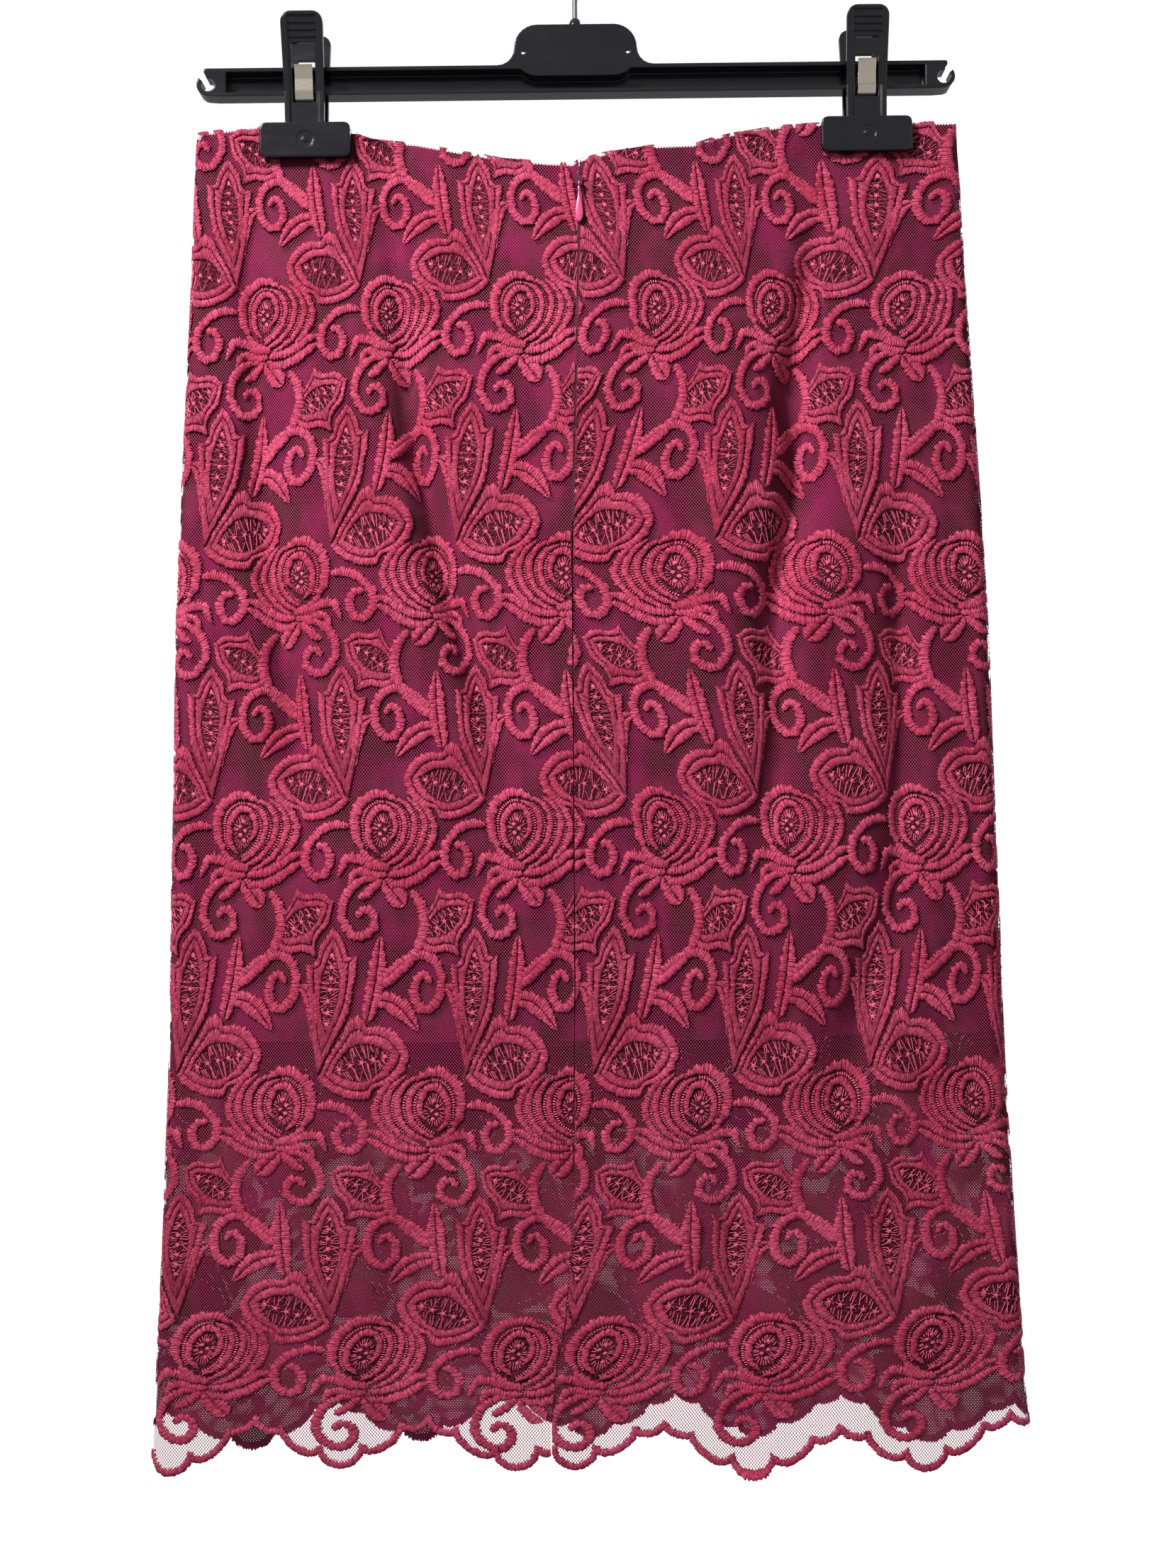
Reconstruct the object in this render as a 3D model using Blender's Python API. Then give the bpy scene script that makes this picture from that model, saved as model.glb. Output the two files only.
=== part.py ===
"""Lace pencil skirt hanging by its waist from a clip hanger.

Lengths in the constants are millimetres and are turned to metres when a mesh is made. The origin
is the inner crown of the hanger's hook, +Z is up, the back of the skirt faces -Y and +X is the
wearer's right. The skirt is a tube of lace panels with a shorter tube of lining inside it.
"""
import math

import bmesh
import bpy
import numpy as np

MM = 0.001

# ---- cloth ----------------------------------------------------------------------------------
WAIST_Z = -112.0          # waist edge where the clips hold it
LINING_HEM_Z = -537.0     # bottom of the lining
HEM_ROW_Z = -706.0        # last straight row of the lace, above the scallops
CUSP_Z = -713.0           # where two scallops meet
LACE_WALL = 1.0
LINING_WALL = 1.0
LAYER_GAP = 0.4           # lace to lining
SEAM_GAP = 0.3            # between two sewn pieces
ZIP_SLOT = 1.8            # between the back panels along the zip
ZIP_END_Z = -330.0

BACK_COLUMNS = 17         # from the centre-back seam to the side fold
SIDE_COLUMNS = 6          # round the side fold, with the side seam half way
FRONT_COLUMNS = 12        # from the side fold to the centre front
LINING_ROWS = 12          # waist to lining hem
LOWER_ROWS = 5            # lining hem to the last straight row
ROW_CROWDING = 1.25       # above 1, rows lie closer together near the waist
HEM_SPLIT = 3             # scallop columns for each column of the panel

# below the waist, half width, radius of the side fold, and how far back and front bulge past it
SECTIONS = (
    #  drop  half_w  fold_r  back  front
    (0.0, 177.5, 3.2, 0.0, 0.0),
    (17.0, 178.4, 3.2, 0.0, 0.0),
    (27.0, 178.9, 3.4, 0.8, 0.6),
    (60.0, 180.5, 4.3, 3.4, 2.9),
    (90.0, 182.0, 5.1, 5.0, 4.4),
    (150.0, 185.5, 6.3, 8.8, 8.0),
    (220.0, 189.3, 7.3, 11.2, 10.4),
    (330.0, 192.5, 8.4, 12.8, 12.0),
    (450.0, 196.0, 9.0, 13.0, 12.4),
    (530.0, 200.0, 9.3, 13.0, 12.6),
    (615.0, 205.0, 9.5, 13.0, 12.8),
)
WAIST_BULGE = 4.6         # how far back and front stand apart between the clips
WAIST_BULGE_HALF = 104.0  # half width of that bulge
WAIST_BULGE_FADE = 170.0  # it is gone this far below the waist

# how far the waist edge drops below WAIST_Z
BACK_SAG = (
    #   x     drop
    (-177.0, 3.2), (-151.0, 0.2), (-109.0, 2.0), (-95.0, 7.0), (-75.0, 9.3), (-55.0, 13.5),
    (-35.0, 17.5), (-15.0, 20.0), (-1.0, 20.8), (1.0, 19.0), (15.0, 15.5), (35.0, 12.5),
    (55.0, 11.5), (65.0, 8.0), (75.0, 6.0), (95.0, 2.8), (109.0, 1.8), (177.0, 1.8),
)
FRONT_SAG = (
    (-177.0, 4.5), (-151.0, 1.2), (-109.0, 0.8), (-80.0, 8.0), (-40.0, 14.0), (0.0, 17.0),
    (40.0, 14.0), (80.0, 8.0), (109.0, 0.6), (177.0, 0.8),
)
CENTRE_BACK = (
    #  drop    x of the centre-back seam
    (0.0, 1.4), (60.0, 0.6), (200.0, -4.0), (400.0, -5.0), (508.0, -7.0), (553.0, -11.0),
    (571.0, -15.0), (600.0, -18.0), (640.0, -18.0),
)

# troughs run down the cloth; a negative depth is a ridge
BACK_FOLDS = (
    #  z        x      depth  half_width
    ((-140.0, 113.0, 0.4, 7.0), (-180.0, 108.0, 2.8, 7.5), (-230.0, 99.0, 6.5, 9.0),
     (-275.0, 100.0, 7.4, 10.0), (-350.0, 88.0, 5.3, 11.0), (-400.0, 90.0, 4.5, 12.0),
     (-480.0, 76.0, 0.0, 15.0)),
    ((-285.0, 146.0, 0.0, 9.0), (-320.0, 147.0, 3.7, 9.0), (-400.0, 148.0, 4.9, 10.0),
     (-480.0, 144.0, 3.3, 12.0), (-530.0, 140.0, 0.0, 13.0)),
    ((-135.0, -155.0, 0.2, 7.0), (-200.0, -153.0, 2.6, 8.0), (-270.0, -150.0, 5.3, 9.0),
     (-330.0, -144.0, 4.9, 10.0), (-385.0, -136.0, 4.5, 11.0), (-465.0, -125.0, 0.0, 15.0)),
    ((-150.0, -88.0, 0.4, 8.0), (-200.0, -83.0, 1.6, 9.0), (-280.0, -72.0, 2.9, 10.0),
     (-360.0, -53.0, 3.2, 10.0), (-430.0, -26.0, 0.0, 13.0)),
    ((-480.0, 134.0, 0.0, 12.0), (-527.0, 127.0, 4.1, 13.0), (-575.0, 120.0, 0.0, 14.0)),
    ((-560.0, 60.0, 0.0, 16.0), (-640.0, 66.0, 1.8, 17.0), (-735.0, 72.0, 2.5, 18.0)),
    ((-590.0, -84.0, 0.0, 18.0), (-660.0, -90.0, 1.8, 18.0), (-735.0, -96.0, 2.5, 20.0)),
    ((-150.0, 72.0, 0.0, 16.0), (-230.0, 70.0, -2.0, 18.0), (-330.0, 60.0, -1.6, 20.0),
     (-430.0, 50.0, 0.0, 20.0)),
)
FRONT_FOLDS = (
    ((-140.0, -112.0, 0.4, 7.0), (-230.0, -104.0, 3.8, 9.0), (-330.0, -92.0, 4.5, 11.0),
     (-450.0, -80.0, 0.0, 15.0)),
    ((-150.0, 108.0, 0.5, 8.0), (-240.0, 112.0, 3.8, 10.0), (-350.0, 104.0, 4.1, 11.0),
     (-500.0, 92.0, 0.0, 15.0)),
    ((-260.0, -20.0, 0.0, 14.0), (-400.0, -10.0, 3.0, 15.0), (-560.0, 4.0, 0.0, 18.0)),
    ((-560.0, 50.0, 0.0, 18.0), (-650.0, 56.0, 1.8, 18.0), (-735.0, 62.0, 2.4, 20.0)),
    ((-580.0, -96.0, 0.0, 18.0), (-660.0, -104.0, 1.8, 18.0), (-735.0, -108.0, 2.4, 20.0)),
)
LEAST_HALF_DEPTH = 3.1    # folds stop short of this, so the two sides never meet

# sewn darts, back and front: narrow creases that run out below the waist
DART_LENGTH = 80.0
DART_DEPTH = 0.7
DART_HALF_WIDTH = 7.0
BACK_DART_X = 105.0
FRONT_DART_X = 92.0

SCALLOP_PERIOD = 81.0     # along the hem, from cusp to cusp
SCALLOP_LOBES = (
    # from    to    depth at start, end, and how far the lobe swells past them
    (0.0, 12.5, 0.0, 3.4, 3.4),
    (12.5, 31.0, 3.4, 13.0, 6.6),
    (31.0, 50.5, 13.0, 13.2, 9.4),
    (50.5, 68.5, 13.2, 4.2, 6.4),
    (68.5, 81.0, 4.2, 0.0, 3.9),
)
HEM_RISE = (
    # along   how much higher the back's hem hangs, from the centre-back seam
    (-200.0, -2.6), (-160.0, -1.5), (-135.0, 2.5), (-100.0, 4.6), (-40.0, 4.2), (0.0, 4.6),
    (35.0, 4.2), (55.0, 1.5), (75.0, -1.0), (110.0, -2.0), (150.0, -2.2), (200.0, -1.0),
)
RIGHT_FIRST_CUSP = 51.0   # from the centre-back seam along the right back panel
LEFT_FIRST_CUSP = 56.0
FRONT_FIRST_CUSP = 40.5   # from the centre front, both ways
SIDE_STATION = 1.5        # the side seam, on the scale that tube_point explains

# ---- hanger ---------------------------------------------------------------------------------
BAR_TOP_Z = -84.8
BAR_BOTTOM_Z = -97.7
BAR_DEPTH = 8.0
BAR_FLANGE = 1.7
BAR_WEB = 1.8
CHANNEL_END_X = 163.0
PLATE_HALF_WIDTH = 28.6
PLATE_TOP_Z = -66.1
PLATE_BOTTOM_Z = -89.9
PLATE_CORNER = 10.8
PLATE_FILLET = 7.8
PLATE_HOLE_X = 24.4
PLATE_HOLE_Z = -78.9
PLATE_SKIN = 2.0          # the plate's front, before the two pockets behind it
PLATE_RIM = 2.2
POCKET_BOTTOM_Z = -84.2
POCKET_INNER_X = 5.0
POCKET_CORNER = 7.8
NOTCH_X = 171.5
NOTCH_Z = -92.2
NOTCH_RADIUS = 3.2
NOTCH_ARM = 2.0
LIP_X = 173.2
LIP_Z = -87.3
COLLAR_RADIUS = 3.2
COLLAR_TOP_Z = -61.4
HOOK_WIRE = 2.5
HOOK_INNER_RADIUS = 19.0
HOOK_STEM_Z = -70.0
HOOK_BORE_RADIUS = 1.55
HOOK_SWEEP_END = 200.0    # degrees round the crook, from +X

CLIP_X = {"left": -126.0, "right": 135.0}
LEVER_TOP_Z = -63.0
LEVER_TOP_WIDTH = 19.4
LEVER_FOOT_WIDTH = 18.0
LEVER_CORNER = 4.6
LEVER_THICK = 2.4
LEVER_TOP_INNER_Y = 11.0
LEVER_FOOT_INNER_Y = 4.4
LEVER_BEND_Z = -97.0
RIM_WIDTH = 2.3
RIM_HEIGHT = 0.8
WINDOW_WIDTH = 10.8
WINDOW_TOP_Z = -76.0
WINDOW_BOTTOM_Z = -102.0
RIDGE_PITCH = 3.0
RIDGE_COUNT = 3
PAD_WIDTH = 42.3
PAD_TOP_Z = -111.3
PAD_BOTTOM_Z = -127.5
PAD_INNER_Y = 3.5
PAD_THICK = 3.6
PAD_CORNER = 3.0
DIMPLE_RADIUS = 4.0
SPRING_WIDTH = 8.3
SPRING_THICK = 0.7

# ---- zip ------------------------------------------------------------------------------------
CHAIN_WIDTH = 1.2
CHAIN_DEPTH = 1.8
CHAIN_TOP_Z = -134.5
CHAIN_SUNK = 0.35         # the chain's face lies this far behind the lace
SLIDER_TOP_Z = -138.6
SLIDER_BOTTOM_Z = -145.4
SLIDER_WIDTH = 3.2
PIN_Z = -143.0
PIN_PROUD = 2.2           # from the lace out to the pin
PIN_RADIUS = 0.42
EAR_THICK = 0.7
EYE_RADIUS = 1.15
EYE_HOLE_RADIUS = 0.68
EYE_WIDTH = 1.5
PULL_END_Z = -160.6
PULL_WIDTH = 3.8
PULL_THICK = 1.2


# ---- materials and mesh helpers ---------------------------------------------------------------
def material(name, colour, roughness, metallic=0.0, sheen=0.0):
    made = bpy.data.materials.new(name)
    made.use_nodes = True
    shader = made.node_tree.nodes["Principled BSDF"]
    shader.inputs["Base Color"].default_value = (*colour, 1.0)
    shader.inputs["Roughness"].default_value = roughness
    shader.inputs["Metallic"].default_value = metallic
    shader.inputs["Sheen Weight"].default_value = sheen
    made.diffuse_color = (*colour, 1.0)
    return made


def add_object(name, points, faces, finish, parent=None, origin=(0.0, 0.0, 0.0)):
    """Make a named object from points in millimetres, with its own origin."""
    mesh = bpy.data.meshes.new(name)
    moved = [[(p[i] - origin[i]) * MM for i in range(3)] for p in points]
    mesh.from_pydata(moved, [], faces)
    mesh.materials.append(finish)
    mesh.update()
    made = bpy.data.objects.new(name, mesh)
    made.location = [value * MM for value in origin]
    made.parent = parent
    bpy.context.scene.collection.objects.link(made)
    return made


def prism(name, outline, low, high, axis, finish, **where):
    """Extrude an outline along X (outline in y, z) or along Y (outline in x, z)."""
    count = len(outline)
    points = []
    for level in (low, high):
        for first, second in outline:
            points.append((level, first, second) if axis == "X" else (first, level, second))
    faces = [list(range(count)), list(range(count, 2 * count))[::-1]]
    for i in range(count):
        j = (i + 1) % count
        faces.append([j, i, count + i, count + j])
    made = add_object(name, points, faces, finish, **where)
    face_outward(made)
    return made


def face_outward(made):
    shape = bmesh.new()
    shape.from_mesh(made.data)
    bmesh.ops.recalc_face_normals(shape, faces=shape.faces)
    shape.to_mesh(made.data)
    shape.free()


def cylinder(name, centre, radius, length, axis, finish, sides=16):
    """A round bar about an axis through its centre."""
    outline = arc(0.0, 0.0, radius, 0.0, 360.0, sides)[:-1]
    points = []
    for end in (-length / 2, length / 2):
        for a, b in outline:
            place = {"X": (end, a, b), "Y": (a, end, b), "Z": (a, b, end)}[axis]
            points.append([place[i] + centre[i] for i in range(3)])
    faces = [list(range(sides)), list(range(sides, 2 * sides))[::-1]]
    for i in range(sides):
        j = (i + 1) % sides
        faces.append([j, i, sides + i, sides + j])
    made = add_object(name, points, faces, finish)
    face_outward(made)
    return made


def combine(target, operation, *tools):
    """Cut, join or intersect with other solids, which stay as hidden guides."""
    for tool in tools:
        step = target.modifiers.new(operation.title(), "BOOLEAN")
        step.operation = operation
        step.solver = "EXACT"
        step.object = tool
        tool.hide_render = True
        tool.display_type = "WIRE"


def arc(cx, cz, radius, start, end, steps):
    """Points along an arc, in degrees, both ends included."""
    turns = [math.radians(start + (end - start) * i / steps) for i in range(steps + 1)]
    return [(cx + radius * math.cos(a), cz + radius * math.sin(a)) for a in turns]


# ---- the shape of the hanging cloth -----------------------------------------------------------
def smooth_table(rows, key):
    """Read every column of a table at a key, along smooth curves through its rows."""
    table = np.array(rows)
    xs = table[:, 0]
    slopes = np.gradient(table[:, 1:], xs, axis=0)
    key = min(max(key, xs[0]), xs[-1])
    i = min(max(int(np.searchsorted(xs, key)) - 1, 0), len(xs) - 2)
    span = xs[i + 1] - xs[i]
    t = (key - xs[i]) / span
    ease = t * t * (3 - 2 * t)
    start = table[i, 1:] + slopes[i] * span * t * (1 - t) ** 2
    end = table[i + 1, 1:] - slopes[i + 1] * span * (1 - t) * t ** 2
    return start * (1 - ease) + end * ease


def read(rows, key):
    """Read a two-column table along straight lines."""
    table = np.array(rows)
    return float(np.interp(key, table[:, 0], table[:, 1]))


def fold_depth(folds, x, z):
    """How far the troughs push the cloth in at a point."""
    total = 0.0
    for rows in folds:
        if rows[-1][0] < z < rows[0][0]:
            path_x, depth, half_width = smooth_table([(-row[0], *row[1:]) for row in rows], -z)
            total += depth * math.exp(-((x - path_x) / half_width) ** 2)
    return total


def dart_depth(dart_x, x, z):
    below = (WAIST_Z - z) / DART_LENGTH
    near = 1 - abs(abs(x) - dart_x) / DART_HALF_WIDTH
    if not 0 <= below < 1 or near <= 0:
        return 0.0
    return DART_DEPTH * near * (1 - below)


def half_depth(x, z, front):
    """Distance from the tube's middle plane to the outside of the lace."""
    drop = WAIST_Z - z
    half_width, fold_radius, back_bulge, front_bulge = smooth_table(SECTIONS, drop)
    across = min(abs(x) / (half_width - fold_radius), 1.0)
    bulge = (front_bulge if front else back_bulge) * (1 - across ** 4) ** 2
    at_waist = max(0.0, 1 - drop / WAIST_BULGE_FADE)
    if abs(x) < WAIST_BULGE_HALF:
        swell = math.cos(math.pi / 2 * x / WAIST_BULGE_HALF) ** 2
        bulge += WAIST_BULGE * swell * at_waist
    folds, dart_x = (FRONT_FOLDS, FRONT_DART_X) if front else (BACK_FOLDS, BACK_DART_X)
    pushed = (fold_depth(folds, x, z) + dart_depth(dart_x, x, z)) * (1 - across ** 8)
    depth = fold_radius + bulge
    return max(depth - pushed, min(depth, LEAST_HALF_DEPTH))


def tube_point(side, station, z):
    """A point on the outside of the lace. side is +1 or -1; station runs from 0 at the centre
    back to 1 at the start of the side fold, 2 at its end and 3 at the centre front."""
    half_width, fold_radius = smooth_table(SECTIONS, WAIST_Z - z)[:2]
    flat = half_width - fold_radius
    if station <= 1:
        seam_x = read(CENTRE_BACK, WAIST_Z - z)
        x = seam_x * (1 - station) + side * flat * station
        return x, -half_depth(x, z, False), z
    if station < 2:
        turn = math.pi * (station - 1)
        return side * (flat + fold_radius * math.sin(turn)), -fold_radius * math.cos(turn), z
    x = side * flat * (3 - station)
    return x, half_depth(x, z, True), z


def waist_z(side, station):
    """Height of the waist edge at a station."""
    x = tube_point(side, station, WAIST_Z)[0]
    return WAIST_Z - read(BACK_SAG if station <= SIDE_STATION else FRONT_SAG, x)


def scallop_drop(along):
    """Depth of the hem edge below the cusps, at a distance along it from any cusp."""
    offset = along % SCALLOP_PERIOD
    for start, end, at_start, at_end, swell in SCALLOP_LOBES:
        if start <= offset <= end:
            t = (offset - start) / (end - start)
            return at_start + (at_end - at_start) * t + swell * math.sqrt(max(0, 4 * t * (1 - t)))
    return 0.0


def hem_length(side, station):
    """Distance along the hem from the centre-back seam, or from the centre front."""
    half_width, fold_radius = smooth_table(SECTIONS, WAIST_Z - CUSP_Z)[:2]
    flat = half_width - fold_radius
    if station <= 1:
        return station * abs(side * flat - read(CENTRE_BACK, WAIST_Z - CUSP_Z))
    if station <= SIDE_STATION:
        return hem_length(side, 1) + math.pi * fold_radius * (station - 1)
    return (3 - max(station, 2)) * flat + math.pi * fold_radius * max(0, 2 - station)


def hem_z(side, station):
    """Height of the scalloped edge at a station."""
    along = hem_length(side, station)
    if station > SIDE_STATION:
        return CUSP_Z - scallop_drop(along - FRONT_FIRST_CUSP)
    first = RIGHT_FIRST_CUSP if side > 0 else LEFT_FIRST_CUSP
    return CUSP_Z + read(HEM_RISE, side * along) - scallop_drop(along - first)


def seam_half_gap(station, z):
    """Half the gap between two pieces at the seam on a station."""
    if station == 0 and z > ZIP_END_Z:
        return ZIP_SLOT / 2
    return SEAM_GAP / 2


# ---- the master net of points, shared by every layer -------------------------------------------
STATIONS = (
    [i / BACK_COLUMNS for i in range(BACK_COLUMNS)]
    + [1 + i / SIDE_COLUMNS for i in range(SIDE_COLUMNS)]
    + [2 + i / FRONT_COLUMNS for i in range(FRONT_COLUMNS + 1)]
)
FINE_STATIONS = [
    STATIONS[i] + (STATIONS[i + 1] - STATIONS[i]) * j / HEM_SPLIT
    for i in range(len(STATIONS) - 1) for j in range(HEM_SPLIT)
] + [STATIONS[-1]]
SIDE_SEAM = BACK_COLUMNS + SIDE_COLUMNS // 2     # column of the side seam


def row_z(row, side, station):
    """Height of a row of the net at a station."""
    top = waist_z(side, station)
    if row <= LINING_ROWS:
        return top + (LINING_HEM_Z - top) * (row / LINING_ROWS) ** ROW_CROWDING
    return LINING_HEM_Z + (HEM_ROW_Z - LINING_HEM_Z) * (row - LINING_ROWS) / LOWER_ROWS


def outward(rows):
    """Unit directions out of the cloth at each point of a closed net."""
    down = np.gradient(rows, axis=0)
    along = np.roll(rows, -1, axis=1) - np.roll(rows, 1, axis=1)
    across = np.cross(down, along)
    return across / np.linalg.norm(across, axis=2, keepdims=True)


def master_net():
    """Outer points and outward directions, as rows round the whole tube from the centre back."""
    rows = []
    for row in range(LINING_ROWS + LOWER_ROWS + 1):
        right = [tube_point(1, s, row_z(row, 1, s)) for s in STATIONS]
        left = [tube_point(-1, s, row_z(row, -1, s)) for s in STATIONS]
        rows.append(right + left[-2:0:-1])
    points = np.array(rows)
    return points, outward(points)


def half_net(net, side):
    """The columns of one half, from the centre back to the centre front."""
    columns = list(range(len(STATIONS)))
    if side < 0:
        columns = [-c % net.shape[1] for c in columns]
    return net[:, columns]


def strip(upper, lower, split):
    """Triangles between a row and the next, whose columns may be split finer."""
    faces = []
    for i in range(len(upper) - 1):
        a, b = upper[i], upper[i + 1]
        below = lower[i * split:(i + 1) * split + 1]
        half = (split + 1) // 2
        faces += [(a, below[j], below[j + 1]) for j in range(half)]
        faces.append((a, below[half], b))
        faces += [(b, below[j], below[j + 1]) for j in range(half, split)]
    return faces


def cloth_piece(name, rows, directions, inset, wall, finish):
    """A wall between the net moved in by inset and by inset + wall. The last row may be finer."""
    points = []
    layers = []
    for distance in (inset, inset + wall):
        index_rows = []
        for row, out in zip(rows, directions):
            start = len(points)
            points += [tuple(p) for p in np.array(row) - np.array(out) * distance]
            index_rows.append(list(range(start, len(points))))
        layers.append(index_rows)
    faces = []
    for layer, index_rows in enumerate(layers):
        sheet = []
        for upper, lower in zip(index_rows, index_rows[1:]):
            sheet += strip(upper, lower, (len(lower) - 1) // (len(upper) - 1))
        faces += sheet if layer == 0 else [face[::-1] for face in sheet]
    outer, inner = layers
    edges = [(outer[0], inner[0]), (inner[-1], outer[-1])]
    edges.append(([row[0] for row in inner], [row[0] for row in outer]))
    edges.append(([row[-1] for row in outer], [row[-1] for row in inner]))
    for near, far in edges:
        for i in range(len(near) - 1):
            faces.append((near[i], near[i + 1], far[i + 1]))
            faces.append((near[i], far[i + 1], far[i]))
    made = add_object(name, points, faces, finish)
    face_outward(made)
    return made


def part_seams(rows, stations):
    """Draw the first and last columns in along the cloth, by half the seam's gap."""
    for row in rows:
        for end, neighbour, station in ((0, 1, stations[0]), (-1, -2, stations[1])):
            step = np.array(row[neighbour]) - np.array(row[end])
            gap = seam_half_gap(station, row[end][2])
            row[end] = np.array(row[end]) + step / np.linalg.norm(step) * gap


def scallop_row(side, first, last, above, out_above):
    """The hem edge and its directions, split finer than the row above it."""
    stations = FINE_STATIONS[first * HEM_SPLIT:last * HEM_SPLIT + 1]
    row = [np.array(tube_point(side, s, hem_z(side, s))) for s in stations]
    out = []
    for i in range(len(above) - 1):
        for j in range(HEM_SPLIT):
            t = j / HEM_SPLIT
            out.append(out_above[i] * (1 - t) + out_above[i + 1] * t)
    return row, out + [out_above[-1]]


def build_panel(name, kind, side, net, out, finish):
    """One lace or lining panel: a back half, or the whole front."""
    lining = name.startswith("lining")
    count = LINING_ROWS + 1 if lining else LINING_ROWS + LOWER_ROWS + 1
    if kind == "back":
        points = [list(r) for r in half_net(net, side)[:count, :SIDE_SEAM + 1]]
        directions = [list(r) for r in half_net(out, side)[:count, :SIDE_SEAM + 1]]
        if not lining:
            row, row_out = scallop_row(side, 0, SIDE_SEAM, points[-1], directions[-1])
            points.append(row)
            directions.append(row_out)
        part_seams(points, (0, SIDE_STATION))
    else:
        halves = []
        for half in (1, -1):
            rows = [list(r) for r in half_net(net, half)[:count, SIDE_SEAM:]]
            outs = [list(r) for r in half_net(out, half)[:count, SIDE_SEAM:]]
            if not lining:
                row, row_out = scallop_row(half, SIDE_SEAM, len(STATIONS) - 1, rows[-1], outs[-1])
                rows.append(row)
                outs.append(row_out)
            halves.append((rows, outs))
        points = [r + l[-2::-1] for r, l in zip(halves[0][0], halves[1][0])]
        directions = [r + l[-2::-1] for r, l in zip(halves[0][1], halves[1][1])]
        part_seams(points, (SIDE_STATION, SIDE_STATION))
    inset = LACE_WALL + LAYER_GAP if lining else 0.0
    wall = LINING_WALL if lining else LACE_WALL
    return cloth_piece(name, points, directions, inset, wall, finish)


def build_skirt():
    lace = material("burgundy_lace", (0.30, 0.035, 0.08), 0.75, sheen=0.4)
    lining = material("plum_lining", (0.12, 0.015, 0.045), 0.7, sheen=0.2)
    net, out = master_net()
    for label, finish in (("", lace), ("lining_", lining)):
        build_panel(label + "back_left", "back", -1, net, out, finish)
        build_panel(label + "back_right", "back", 1, net, out, finish)
        build_panel(label + "front", "front", 0, net, out, finish)


# ---- zip ------------------------------------------------------------------------------------
def lace_y(z):
    """The outside of the lace at the centre-back seam."""
    return -half_depth(read(CENTRE_BACK, WAIST_Z - z), z, False)


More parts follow.
